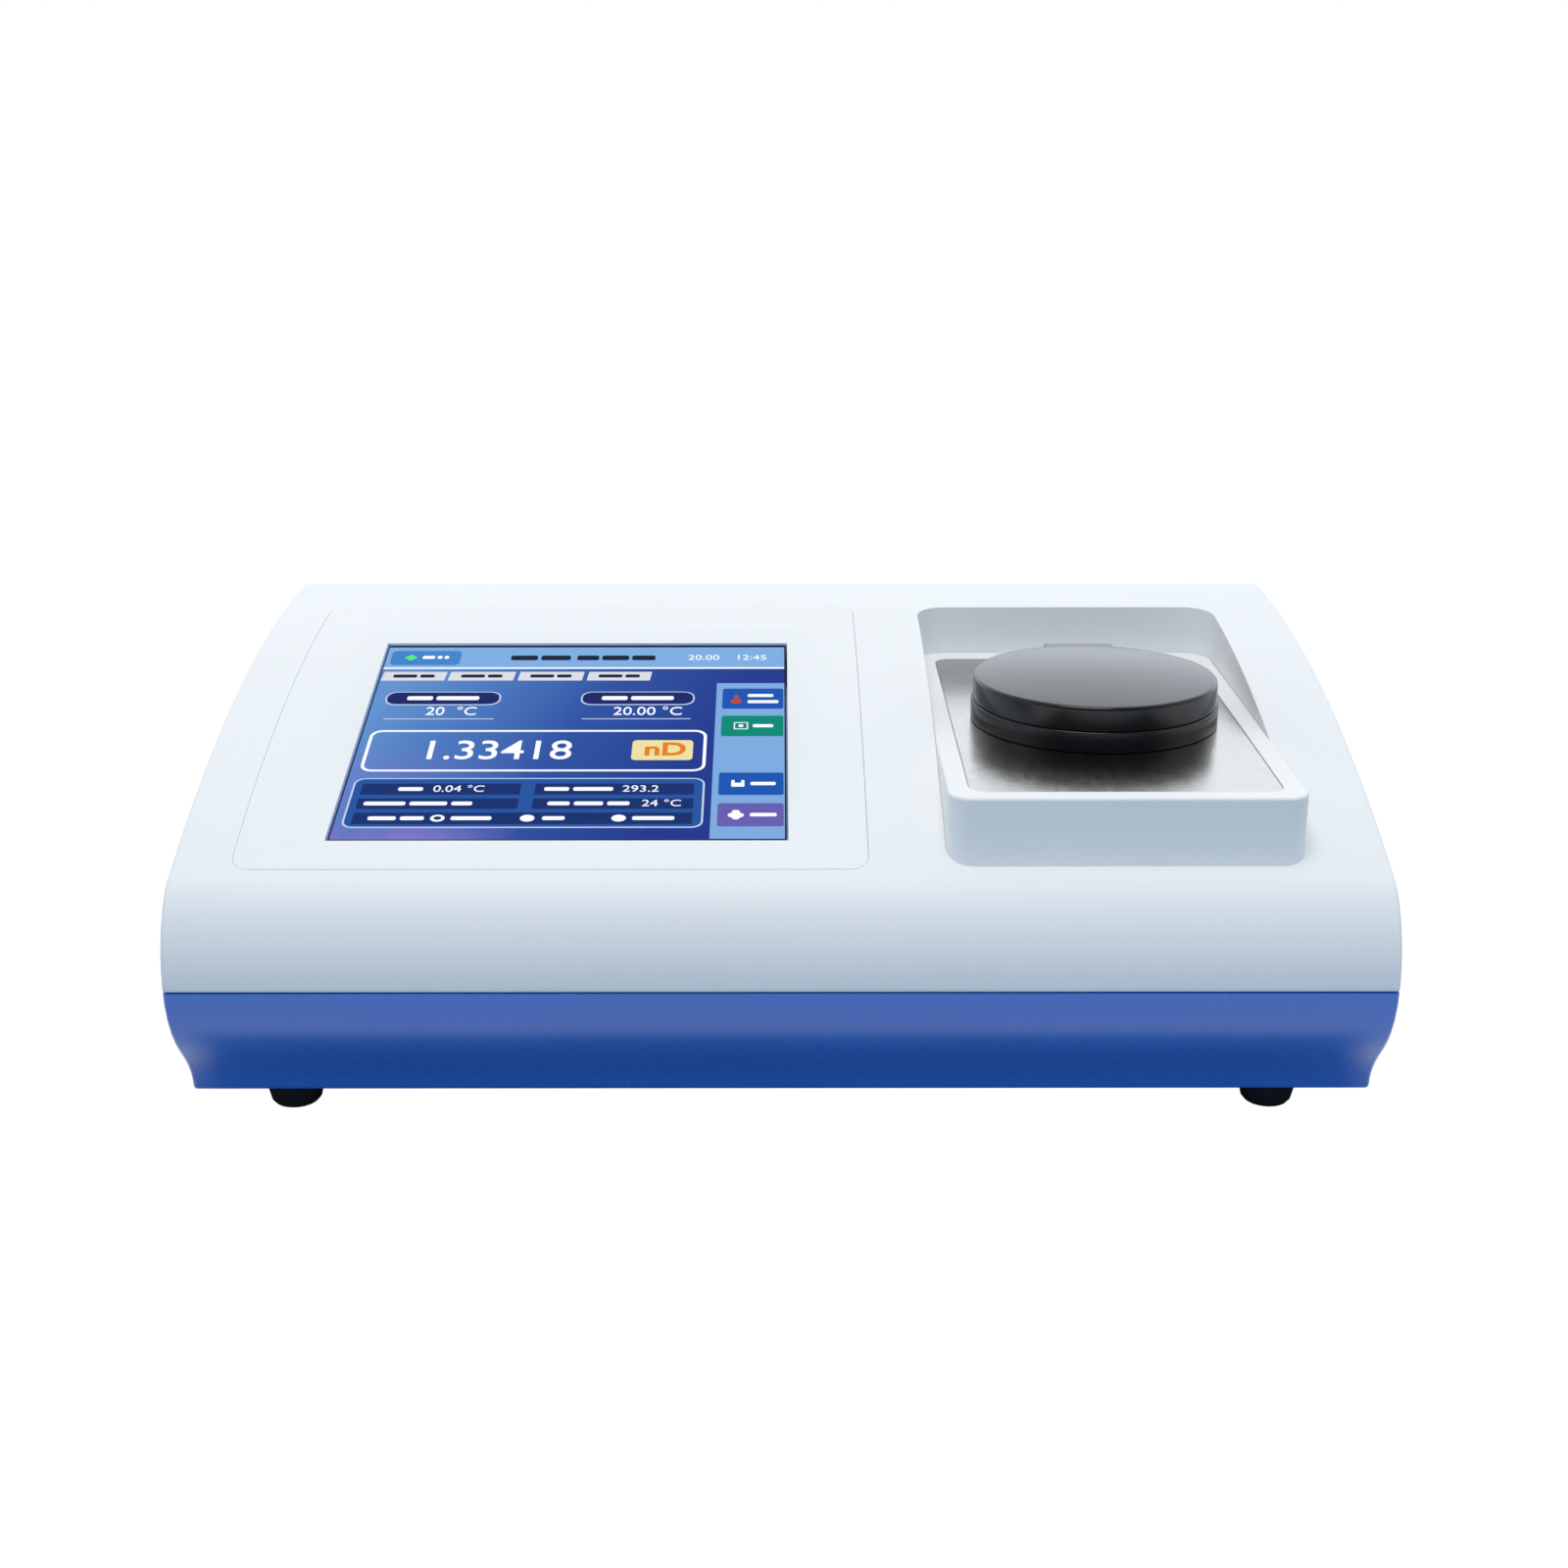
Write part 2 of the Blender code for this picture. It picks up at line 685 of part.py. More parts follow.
# Side outline of the case


def bezier(start, pull_start, pull_end, end, steps):
    """Points of one curve, without its first one."""
    knots = [Vector((*point, 0)) for point in (start, pull_start, pull_end, end)]
    return [(p.x, p.y) for p in interpolate_bezier(*knots, steps + 1)][1:]


def case_outline():
    """The side of the case from the back edge over the top and down the front."""
    crown_start = BACK_Y - CROWN_FLAT
    roll_y = FRONT_Y + ROLL_INSET
    roll = (roll_y, crown_height(roll_y))
    slope = math.asin(CROWN_REACH / CROWN_RADIUS)
    upright = (FRONT_Y, UPRIGHT_HEIGHT)
    turn = (FRONT_Y + SKIRT_TURN_INSET, SKIRT_TURN_HEIGHT)
    along = Vector((math.cos(SKIRT_TURN_ANGLE), -math.sin(SKIRT_TURN_ANGLE)))
    foot = (FRONT_Y + SKIRT_FOOT_INSET, FOOT_HEIGHT)

    outline = [(BACK_Y, FOOT_HEIGHT), (BACK_Y, CASE_HEIGHT)]
    for step in range(CROWN_STEPS + 1):
        y = crown_start + (roll_y - crown_start) * step / CROWN_STEPS
        outline.append((y, crown_height(y)))
    tangent = Vector((math.cos(slope), math.sin(slope)))
    end_pull = (roll[1] - UPRIGHT_HEIGHT) * ROLL_END_PULL_SHARE
    outline += bezier(
        roll,
        Vector(roll) - tangent * ROLL_INSET * ROLL_START_PULL_SHARE,
        (FRONT_Y, UPRIGHT_HEIGHT + end_pull),
        upright,
        ROLL_STEPS,
    )
    outline += bezier(
        upright,
        (FRONT_Y, UPRIGHT_HEIGHT - SKIRT_TOP_PULL),
        Vector(turn) - along * SKIRT_TURN_PULL,
        turn,
        SKIRT_STEPS,
    )
    outline += bezier(
        turn,
        Vector(turn) + along * SKIRT_TURN_PULL,
        (foot[0], FOOT_HEIGHT + SKIRT_FOOT_PULL),
        foot,
        SKIRT_STEPS,
    )
    return outline


def inset_outline(distance):
    """The case outline moved inwards by a distance, with its corners kept."""
    outline = [Vector(point) for point in case_outline()]
    moved = []
    for i, here in enumerate(outline):
        before = (here - outline[i - 1]).normalized()
        after = (outline[(i + 1) % len(outline)] - here).normalized()
        inward = (before + after).orthogonal().normalized()
        place = here + inward * distance / inward.dot(before.orthogonal())
        moved.append((place.x, place.y))
    return moved


def cavity_outline():
    """The hollow of the case, which stops short of the thick rear frame."""
    kept = [point for point in inset_outline(WALL) if point[0] < REAR_INNER_Y - WALL]
    back = [(REAR_INNER_Y, FLOOR_TOP), (REAR_INNER_Y, CASE_HEIGHT - WALL)]
    return back + kept


def inset_solid(name, inset, outline=None):
    """The form of the case drawn in by one distance on every side."""
    return side_slice(
        name, outline or inset_outline(inset), inset - HALF_WIDTH, HALF_WIDTH - inset
    )


CAVITY = inset_solid("case_cavity", WALL, cavity_outline())
CORE = inset_solid("case_core", WALL / 2)
LAP_FACE = inset_solid("lap_face", LAP_WALL)
LAP_TONGUE = inset_solid("lap_tongue", LAP_WALL + GAP)


# Helpers that several pieces share


def whole_case(name, finish):
    """The closed outer form of the case, its outer edges rounded."""
    body = side_slice(name, case_outline(), -HALF_WIDTH, HALF_WIDTH, finish)
    bevel = body.modifiers.new("edge_round", "BEVEL")
    bevel.width = EDGE_ROUND
    bevel.segments = 2
    bevel.limit_method = "ANGLE"
    bevel.angle_limit = math.radians(40)
    return body


def across(name, low, high):
    """A block that covers the whole case between two heights."""
    return box(name, (-CASE_WIDTH, -CASE_DEPTH, low), (CASE_WIDTH, CASE_DEPTH, high))


PANEL_HALF_WIDTH = HALF_WIDTH - PANEL_MARGIN
PANEL_LOW = FOOT_HEIGHT + PANEL_MARGIN
PANEL_HIGH = CASE_HEIGHT - PANEL_MARGIN
REAR_WINDOW = box(
    "rear_window",
    (PANEL_LEDGE - PANEL_HALF_WIDTH, REAR_INNER_Y - OVERRUN, PANEL_LOW + PANEL_LEDGE),
    (PANEL_HALF_WIDTH - PANEL_LEDGE, BACK_Y + OVERRUN, PANEL_HIGH - PANEL_LEDGE),
)
REAR_SEAT = box(
    "rear_seat",
    (-PANEL_HALF_WIDTH, LEDGE_Y, PANEL_LOW),
    (PANEL_HALF_WIDTH, BACK_Y + OVERRUN, PANEL_HIGH),
    radius=PANEL_CORNER,
    along="Y",
)


def panel_screw_places():
    x = PANEL_HALF_WIDTH - PANEL_LEDGE / 2
    heights = (PANEL_SCREW_LOW, CASE_HEIGHT - PANEL_SCREW_DROP)
    return [(side * x, z) for z in heights for side in (-1, 1)]


def case_screw_places():
    x = HALF_WIDTH - CASE_SCREW_INSET
    ys = (FRONT_Y + CASE_SCREW_FROM_FRONT, BACK_Y - CASE_SCREW_FROM_BACK)
    return [(side * x, y) for y in ys for side in (-1, 1)]


def foot_places():
    x = HALF_WIDTH - FOOT_INSET_X
    front = FRONT_Y + FOOT_FROM_FRONT
    back = BACK_Y - FOOT_FROM_BACK
    return {
        "front_left": (-x, front),
        "front_right": (x, front),
        "rear_left": (-x, back),
        "rear_right": (x, back),
    }


def screw_hole(name, start, end):
    return rod(name, SCREW_HOLE_RADIUS, start, end, steps=SCREW_STEPS)


PANEL_SCREW_HOLES = [
    screw_hole(
        f"panel_screw_hole_{i}",
        (x, REAR_INNER_Y - OVERRUN, z),
        (x, BACK_Y + OVERRUN, z),
    )
    for i, (x, z) in enumerate(panel_screw_places())
]
FOOT_SCREW_HOLES = [
    screw_hole(f"foot_screw_hole_{name}", (x, y, -OVERRUN), (x, y, CHASSIS_TOP + OVERRUN))
    for name, (x, y) in foot_places().items()
]


# The two shells


def bezel_box(name, margin):
    """An upright block over the bezel, as seen from above, with a margin round it."""
    front = SCREEN_FRONT_Y - BEZEL_FRONT_MARGIN - margin
    back = SCREEN_BACK_Y + BEZEL_BACK_MARGIN + margin
    low = SEAM_HEIGHT + LAP_HEIGHT + OVERRUN
    return box(
        name,
        (BEZEL_LEFT - margin, front, low),
        (BEZEL_RIGHT + margin, back, CASE_HEIGHT + OVERRUN),
        radius=BEZEL_CORNER + margin,
    )


def tray_box(name, margin, low, high, finish=None):
    """An upright block over the tray, as seen from above, with a margin round it."""
    half = TRAY_WIDTH / 2 + margin
    return box(
        name,
        (TRAY_CENTRE_X - half, TRAY_FRONT_Y - margin, low),
        (TRAY_CENTRE_X + half, TRAY_BACK_Y + margin, high),
        finish,
        radius=TRAY_CORNER + margin,
        steps=TRAY_CORNER_STEPS,
        front_radius=TRAY_FRONT_CORNER + margin,
    )


def top_cover():
    cover = whole_case("top_cover", WHITE_PLASTIC)
    below_seam = across("below_seam", -OVERRUN, SEAM_HEIGHT + SEAM_GAP / 2)
    cut(cover, below_seam, CAVITY)
    lap_room = across(
        "lap_room", SEAM_HEIGHT - OVERRUN, SEAM_HEIGHT + LAP_HEIGHT + GAP
    )
    cut(cover, keep_inside(lap_room, LAP_FACE))

    pocket = tray_box(
        "pocket_wall",
        TRAY_GAP + POCKET_WALL,
        RIM_TOP - POCKET_DEPTH,
        CASE_HEIGHT + OVERRUN,
    )
    join(cover, keep_inside(pocket, CORE))
    for i, (x, y) in enumerate(case_screw_places()):
        join(cover, cover_column(i, x, y), cover_rib(i, x, y))
        thread_low = BOSS_JOINT_HEIGHT - OVERRUN
        thread_high = BOSS_JOINT_HEIGHT + CASE_SCREW_REACH + OVERRUN
        name = f"cover_thread_{i}"
        cut(cover, screw_hole(name, (x, y, thread_low), (x, y, thread_high)))

    tray_opening = tray_box(
        "tray_opening", TRAY_GAP, SEAM_HEIGHT + LAP_HEIGHT, CASE_HEIGHT + OVERRUN
    )
    cut(cover, bezel_box("bezel_opening", BEZEL_LINE), tray_opening)
    return cut(cover, REAR_WINDOW, REAR_SEAT, *PANEL_SCREW_HOLES)


def cover_column(i, x, y):
    column = rod(
        f"cover_column_{i}",
        BOSS_RADIUS,
        (x, y, BOSS_JOINT_HEIGHT + GAP),
        (x, y, CASE_HEIGHT + OVERRUN),
        steps=BOSS_STEPS,
    )
    return keep_inside(column, CORE)


def cover_rib(i, x, y):
    """A rib that ties a column to the side wall above the lap joint."""
    outer = math.copysign(HALF_WIDTH - WALL / 2, x)
    rib = box(
        f"cover_rib_{i}",
        (min(x, outer), y - BOSS_RIB / 2, SEAM_HEIGHT + LAP_HEIGHT + 2 * GAP),
        (max(x, outer), y + BOSS_RIB / 2, CASE_HEIGHT + OVERRUN),
    )
    return keep_inside(rib, CORE)


def base_shell():
    base = whole_case("base_shell", BLUE_PAINT)
    above_seam = across(
        "above_seam", SEAM_HEIGHT - SEAM_GAP / 2, CASE_HEIGHT + OVERRUN
    )
    cut(base, above_seam, CAVITY)
    tongue = across("lap_band", SEAM_HEIGHT - LAP_HEIGHT, SEAM_HEIGHT + LAP_HEIGHT)
    keep_inside(tongue, LAP_TONGUE)
    join(base, cut(tongue, CAVITY))

    for i, (x, y) in enumerate(case_screw_places()):
        column = rod(
            f"base_column_{i}",
            BOSS_RADIUS,
            (x, y, FOOT_HEIGHT + WALL / 2),
            (x, y, BOSS_JOINT_HEIGHT),
            steps=BOSS_STEPS,
        )
        sink = rod(
            f"base_screw_sink_{i}",
            SCREW_HEAD_RADIUS + GAP,
            (x, y, -OVERRUN),
            (x, y, FOOT_HEIGHT + CASE_SCREW_SINK),
            steps=BOSS_STEPS,
        )
        shaft_high = BOSS_JOINT_HEIGHT + OVERRUN
        shaft = screw_hole(f"base_shaft_{i}", (x, y, -OVERRUN), (x, y, shaft_high))
        join(base, column)
        cut(base, shaft, sink)
    cut(base, *FOOT_SCREW_HOLES)
    return cut(base, REAR_WINDOW, REAR_SEAT, *PANEL_SCREW_HOLES)


# Screws, feet and the chassis plate


def screw(name, seat, reach, direction=(0, 0, 1)):
    """A pan head screw: its head lies before the seat, its shank runs on."""
    seat = Vector(seat)
    direction = Vector(direction)
    socket_end = seat - direction * (SCREW_HEAD_HEIGHT - SCREW_SOCKET_DEPTH)
    head = rod(
        name,
        SCREW_HEAD_RADIUS,
        seat - direction * SCREW_HEAD_HEIGHT,
        seat,
        BRIGHT_STEEL,
        steps=BOSS_STEPS,
    )
    shank = rod(
        f"{name}_shank",
        SCREW_RADIUS,
        (seat + socket_end) / 2,
        seat + direction * reach,
        steps=SCREW_STEPS,
    )
    socket = rod(
        f"{name}_socket",
        SCREW_SOCKET_RADIUS,
        seat - direction * (SCREW_HEAD_HEIGHT + OVERRUN),
        socket_end,
        steps=6,
    )
    join(head, shank)
    return cut(head, socket)


def case_screws():
    seat = FOOT_HEIGHT + CASE_SCREW_SINK - GAP
    reach = BOSS_JOINT_HEIGHT + CASE_SCREW_REACH - seat
    for i, (x, y) in enumerate(case_screw_places()):
        screw(f"case_screw_{i + 1}", (x, y, seat), reach)


def panel_screws():
    seat = PANEL_FACE_Y + GAP
    for i, (x, z) in enumerate(panel_screw_places()):
        name = f"panel_screw_{i + 1}"
        screw(name, (x, seat, z), PANEL_SCREW_LENGTH, direction=(0, -1, 0))


def feet():
    top = FOOT_HEIGHT - GAP
    ring = SCREW_HEAD_RADIUS + RUNNING_GAP
    flare = (FOOT_TOP_RADIUS - FOOT_BOTTOM_RADIUS) * FOOT_ROUND / top
    profile = [
        (SCREW_HOLE_RADIUS, top),
        (FOOT_TOP_RADIUS, top),
        (FOOT_BOTTOM_RADIUS + flare, FOOT_ROUND),
        (FOOT_BOTTOM_RADIUS - FOOT_ROUND / 3, FOOT_ROUND / 3),
        (FOOT_BOTTOM_RADIUS - FOOT_ROUND, 0),
        (ring, 0),
        (ring, FOOT_SOCKET_DEPTH),
        (SCREW_HOLE_RADIUS, FOOT_SOCKET_DEPTH),
    ]
    seat = FOOT_SOCKET_DEPTH - GAP
    reach = CHASSIS_TOP + FOOT_SCREW_REACH - seat
    for name, (x, y) in foot_places().items():
        turned(f"foot_{name}", profile, (x, y, 0), BLACK_RUBBER, ROD_STEPS)
        screw(f"foot_screw_{name}", (x, y, seat), reach)


def standoff_places():
    xs = (MAIN_LEFT_X + STANDOFF_INSET, MAIN_RIGHT_X - STANDOFF_INSET)
    main_back_y = REAR_INNER_Y - MAIN_BACK_GAP
    ys = (MAIN_FRONT_Y + STANDOFF_INSET, main_back_y - STANDOFF_INSET)
    return [(x, y) for y in ys for x in xs]


def chassis_plate():
    plate = box(
        "chassis_plate",
        (-CHASSIS_HALF_WIDTH, FRONT_Y + CHASSIS_FRONT_INSET, CHASSIS_BOTTOM),
        (CHASSIS_HALF_WIDTH, REAR_INNER_Y - CHASSIS_BACK_GAP, CHASSIS_TOP),
        BRIGHT_STEEL,
        radius=CHASSIS_CORNER,
    )
    for i, (x, y) in enumerate(standoff_places()):
        post = rod(
            f"standoff_{i}",
            STANDOFF_RADIUS,
            (x, y, CHASSIS_TOP - CHASSIS_THICKNESS / 2),
            (x, y, CHASSIS_TOP + STANDOFF_HEIGHT),
            steps=SCREW_STEPS,
        )
        join(plate, post)
    return cut(plate, *FOOT_SCREW_HOLES)


# Screen: its plane is the chord of the crown between the window's two ends


def screen_frame():
    """An empty in the middle of the screen plane, and the window's length on it."""
    front = Vector((SCREEN_FRONT_Y, crown_height(SCREEN_FRONT_Y)))
    back = Vector((SCREEN_BACK_Y, crown_height(SCREEN_BACK_Y)))
    lean = math.atan2(back.y - front.y, back.x - front.x)
    middle = (front + back) / 2
    y = middle.x + SCREEN_SINK * math.sin(lean)
    z = middle.y - SCREEN_SINK * math.cos(lean)
    x = (SCREEN_LEFT + SCREEN_RIGHT) / 2
    frame = empty("screen_plane", (x, y, z), (lean, 0, 0))
    return frame, (back - front).length


SCREEN_PLANE, SCREEN_LENGTH = screen_frame()


def screen_box(name, size, low, high, finish=None, middle=0.0, **shape):
    """A box on the screen plane, whose heights are measured from that plane."""
    half_width, half_length = size[0] / 2, size[1] / 2
    made = box(
        name,
        (-half_width, middle - half_length, low),
        (half_width, middle + half_length, high),
        finish,
        **shape,
    )
    hang_on(SCREEN_PLANE, made)
    return made


def screen_size(margin):
    return SCREEN_WIDTH + 2 * margin, SCREEN_LENGTH + 2 * margin


def window_loops():
    """Points round the window, on the screen plane and out on the case top."""
    lean = SCREEN_PLANE.rotation_euler.x
    middle = SCREEN_PLANE.location
    half = SCREEN_WIDTH / 2
    far_front = SCREEN_FRONT_Y - SCREEN_BEVEL
    far_back = SCREEN_BACK_Y + SCREEN_BEVEL
    inner = []
    outer = []
    for side in (-1, 1):
        for step in range(WINDOW_STEPS + 1)[::-side]:
            share = step / WINDOW_STEPS
            along = (share - 0.5) * SCREEN_LENGTH
            place = Vector((side * half, along * math.cos(lean), along * math.sin(lean)))
            inner.append(middle + place)
            x = middle.x + side * (half + SCREEN_BEVEL)
            y = far_front + (far_back - far_front) * share
            outer.append(Vector((x, y, crown_height(y))))
    return inner, outer


def window_funnel():
    """The screen's shaft with the sloping band over it: a loft up to the crown."""
    inner, outer = window_loops()
    normal = Vector((0, 0, 1))
    normal.rotate(SCREEN_PLANE.rotation_euler)
    deep = [point + normal * (LCD_BOTTOM - OVERRUN) for point in inner]
    wide = [low.lerp(high, FUNNEL_SHARE) for low, high in zip(inner, outer)]
    tall = [Vector((point.x, point.y, CASE_HEIGHT + OVERRUN)) for point in wide]
    bm = bmesh.new()
    loops = []
    for points in (deep, inner, wide, tall):
        verts = [bm.verts.new(point) for point in points]
        loops.append(
            [bm.edges.new(pair) for pair in zip(verts, verts[1:] + verts[:1])]
        )
    for low, high in zip(loops, loops[1:]):
        bmesh.ops.bridge_loops(bm, edges=low + high)
    bmesh.ops.contextual_create(bm, geom=loops[0])
    bmesh.ops.contextual_create(bm, geom=loops[-1])
    return from_bmesh("window_funnel", bm, None)


def crown_band(name, top, bottom, margin, finish=None):
    """A sheet that follows the case outline between two depths, over the bezel."""
    band = side_slice(name, inset_outline(top), -HALF_WIDTH, HALF_WIDTH, finish)
    below = side_slice(
        f"{name}_below", inset_outline(bottom), -CASE_WIDTH, CASE_WIDTH
    )
    cut(band, below)
    return keep_inside(band, bezel_box(f"{name}_plan", margin))


def display_bezel():
    seat = WALL + GAP
    lip_middle = seat + BEZEL_LIP_THICKNESS / 2
    bezel = crown_band("display_bezel", 0, lip_middle, 0, WHITE_PLASTIC)
    lip = crown_band("bezel_lip", seat, seat + BEZEL_LIP_THICKNESS, BEZEL_LIP)
    collar = screen_box(
        "bezel_collar", screen_size(COLLAR_WALL), LCD_BOTTOM, CASE_HEIGHT
    )
    join(bezel, lip, keep_inside(collar, CORE))
    return cut(bezel, window_funnel())


def touch_glass():
    return screen_box(
        "touch_glass",
        screen_size(-GLASS_GAP),
        GLASS_TOP - GLASS_THICKNESS,
        GLASS_TOP,
        SCREEN_GLASS,
        radius=GLASS_CORNER,
        steps=2,
    )


def lcd_module():
    """The display under the glass, with a thinner plate at its back."""
    face = screen_box(
        "lcd_module",
        screen_size(-GLASS_GAP),
        LCD_BOTTOM + LCD_BACK_THICKNESS,
        LCD_TOP,
        ALUMINIUM,
    )
    back = screen_box(
        "lcd_back",
        screen_size(-LCD_BACK_INSET),
        LCD_BOTTOM,
        LCD_TOP - LCD_BACK_THICKNESS,
    )
    return join(face, back)


def display_bracket():
    low = BRACKET_TOP - BRACKET_THICKNESS
    size = screen_size(COLLAR_WALL - GLASS_GAP)
    bracket = screen_box("display_bracket", size, low, BRACKET_TOP, BRIGHT_STEEL)
    slot = screen_box(
        "bracket_slot",
        (BRACKET_SLOT_WIDTH, BRACKET_SLOT_LENGTH),
        low - OVERRUN,
        BRACKET_TOP + OVERRUN,
        middle=SCREEN_LENGTH * DISPLAY_BOARD_SHARE / 2 + BRACKET_SLOT_LENGTH,
    )
    return cut(bracket, slot)


def display_board():
    board = screen_box(
        "display_board",
        (SCREEN_WIDTH * DISPLAY_BOARD_SHARE, SCREEN_LENGTH * DISPLAY_BOARD_SHARE),
        DISPLAY_BOARD_BOTTOM,
        DISPLAY_BOARD_TOP,
        BOARD_GREEN,
    )
    chip = screen_box(
        "display_chip",
        (DISPLAY_CHIP, DISPLAY_CHIP),
        DISPLAY_BOARD_BOTTOM - DISPLAY_CHIP_HEIGHT,
        DISPLAY_BOARD_BOTTOM + BOARD_THICKNESS / 2,
    )
    return join(board, chip)


# Sample tray and steel plate


def sample_tray():
    low = RIM_TOP - TRAY_WALL_DEPTH
    tray = tray_box("sample_tray", 0, low, RIM_TOP, WHITE_PLASTIC)
    flange_half = TRAY_WIDTH / 2 + TRAY_FLANGE
    flange_back = TRAY_BACK_Y + TRAY_FLANGE
    flange_top = RIM_TOP - POCKET_DEPTH - GAP
    flange = box(
        "tray_flange",
        (
            TRAY_CENTRE_X - flange_half,
            flange_back - TRAY_FLANGE_LENGTH,
            flange_top - TRAY_FLANGE_THICKNESS,
        ),
        (TRAY_CENTRE_X + flange_half, flange_back, flange_top),
    )
    hollow = tray_box("tray_hollow", -TRAY_WALL, low - OVERRUN, TRAY_FLOOR_BOTTOM)
    seat = plate_box("plate_seat", GAP, TRAY_FLOOR_TOP, RIM_TOP + OVERRUN)
    join(tray, flange)
    return cut(tray, hollow, seat, WELL_HOLE)


def plate_box(name, margin, low, high, finish=None):
    half = TRAY_WIDTH / 2 - PLATE_MARGIN_SIDE + margin
    return box(
        name,
        (TRAY_CENTRE_X - half, TRAY_FRONT_Y + PLATE_MARGIN_FRONT - margin, low),
        (TRAY_CENTRE_X + half, TRAY_BACK_Y - PLATE_MARGIN_BACK + margin, high),
        finish,
        radius=PLATE_CORNER + margin,
    )


def stage_plate():
    low = PLATE_TOP - PLATE_THICKNESS
    plate = plate_box("stage_plate", 0, low, PLATE_TOP, BRUSHED_STEEL)
    return cut(plate, WELL_HOLE)


WELL_HOLE = rod(
    "well_hole",
    WELL_RADIUS + GAP,
    (STAGE_X, STAGE_Y, TRAY_FLOOR_BOTTOM - OVERRUN),
    (STAGE_X, STAGE_Y, PLATE_TOP + OVERRUN),
    steps=RING_STEPS,
)


# Sample well, prism and the block that holds it


def sample_well():
    """A steel dish whose floor slopes to the prism face."""
    hole = PRISM_FACE_RADIUS + GAP
    profile = [
        (WELL_RADIUS - WELL_RIM, WELL_TOP),
        (WELL_RADIUS, WELL_TOP),
        (WELL_RADIUS, WELL_BOTTOM),
        (hole, WELL_BOTTOM),
        (hole, WELL_FLOOR_TOP),
        (WELL_FLOOR_RADIUS, WELL_FLOOR_TOP),
        (WELL_RADIUS - WELL_RIM, WELL_TOP - WELL_BAND),
    ]
    return turned("sample_well", profile, (STAGE_X, STAGE_Y, 0), BRIGHT_STEEL)


# Each light path leaves the prism face along -Z of its own empty
BEAMS = {
    "light": empty("light_axis", (STAGE_X, STAGE_Y, PRISM_TOP), (0, BEAM_ANGLE, 0)),
    "sensor": empty("sensor_axis", (STAGE_X, STAGE_Y, PRISM_TOP), (0, -BEAM_ANGLE, 0)),
}


def prism():
    """A round prism: a face in the well, a wider body and two slanted facets."""
    bottom = PRISM_SHOULDER - PRISM_BODY_HEIGHT
    profile = [
        (0, PRISM_TOP),
        (PRISM_FACE_RADIUS, PRISM_TOP),
        (PRISM_FACE_RADIUS, PRISM_SHOULDER),
        (PRISM_BODY_RADIUS, PRISM_SHOULDER),
        (PRISM_BODY_RADIUS, bottom),
        (0, bottom),
    ]
    place = (STAGE_X, STAGE_Y, 0)
    made = turned("prism", profile, place, CLEAR_GLASS, ROD_STEPS, closed=False)
    reach = PRISM_BODY_RADIUS + PRISM_BODY_HEIGHT
    for name, beam in BEAMS.items():
        facet = box(
            f"prism_facet_{name}",
            (-reach, -reach, -PRISM_FACET_REACH - reach),
            (reach, reach, -PRISM_FACET_REACH),
        )
        hang_on(beam, facet)
        cut(made, facet)
    return made


def prism_seal():
    """A rubber ring between the prism's shoulder and the well."""
    middle = PRISM_SHOULDER + GAP + SEAL_THICKNESS / 2
    profile = []
    for i in range(SEAL_CORNERS):
        angle = math.pi / 2 - 2 * math.pi * (i + 0.5) / SEAL_CORNERS
        radius = SEAL_RADIUS + SEAL_THICKNESS / 2 * math.cos(angle)
        profile.append((radius, middle + SEAL_THICKNESS / 2 * math.sin(angle)))
    return turned("prism_seal", profile, (STAGE_X, STAGE_Y, 0), BLACK_RUBBER, ROD_STEPS)


def prism_block():
    """The metal block that holds the prism at one temperature."""
    shoulder = BLOCK_TOP - BLOCK_SHOULDER
    foot_half = BLOCK_HALF_WIDTH - (shoulder - BLOCK_BOTTOM) / math.tan(BEAM_ANGLE)
    outline = [
        (STAGE_X - BLOCK_HALF_WIDTH, BLOCK_TOP),
        (STAGE_X - BLOCK_HALF_WIDTH, shoulder),
        (STAGE_X - foot_half, BLOCK_BOTTOM),
        (STAGE_X + foot_half, BLOCK_BOTTOM),
        (STAGE_X + BLOCK_HALF_WIDTH, shoulder),
        (STAGE_X + BLOCK_HALF_WIDTH, BLOCK_TOP),
    ]
    front = BLOCK_BACK_Y - BLOCK_DEPTH
    block = front_slice("prism_block", outline, front, BLOCK_BACK_Y, ALUMINIUM)
    bore = rod(
        "prism_bore",
        PRISM_BODY_RADIUS + GAP,
        (STAGE_X, STAGE_Y, PRISM_SHOULDER - PRISM_BODY_HEIGHT - GAP),
        (STAGE_X, STAGE_Y, BLOCK_TOP + OVERRUN),
    )
    cut(block, bore)
    for name, beam in BEAMS.items():
        bored = rod(
            f"beam_bore_{name}",
            BEAM_RADIUS,
            (0, 0, -PRISM_FACET_REACH),
            (0, 0, -BLOCK_HALF_WIDTH - BLOCK_HEIGHT),
        )
        hang_on(beam, bored)
        cut(block, bored)
    return block


# Barrels of the light and of the sensor


def block_reach():
    """Distance from the prism face to the block's slanted side, along a beam."""
    drop = PRISM_TOP - (BLOCK_TOP - BLOCK_SHOULDER)
    return BLOCK_HALF_WIDTH * math.sin(BEAM_ANGLE) + drop * math.cos(BEAM_ANGLE)


BARREL_START = block_reach() + GAP
BARREL_END = BARREL_START + BARREL_LENGTH


def barrel(name, beam):
    profile = [
        (BARREL_BORE, -BARREL_START),
        (BARREL_RADIUS, -BARREL_START),
        (BARREL_RADIUS, -BARREL_END),
        (BARREL_BORE, -BARREL_END),
    ]
    hang_on(beam, turned(name, profile, (0, 0, 0), ALUMINIUM, ROD_STEPS))


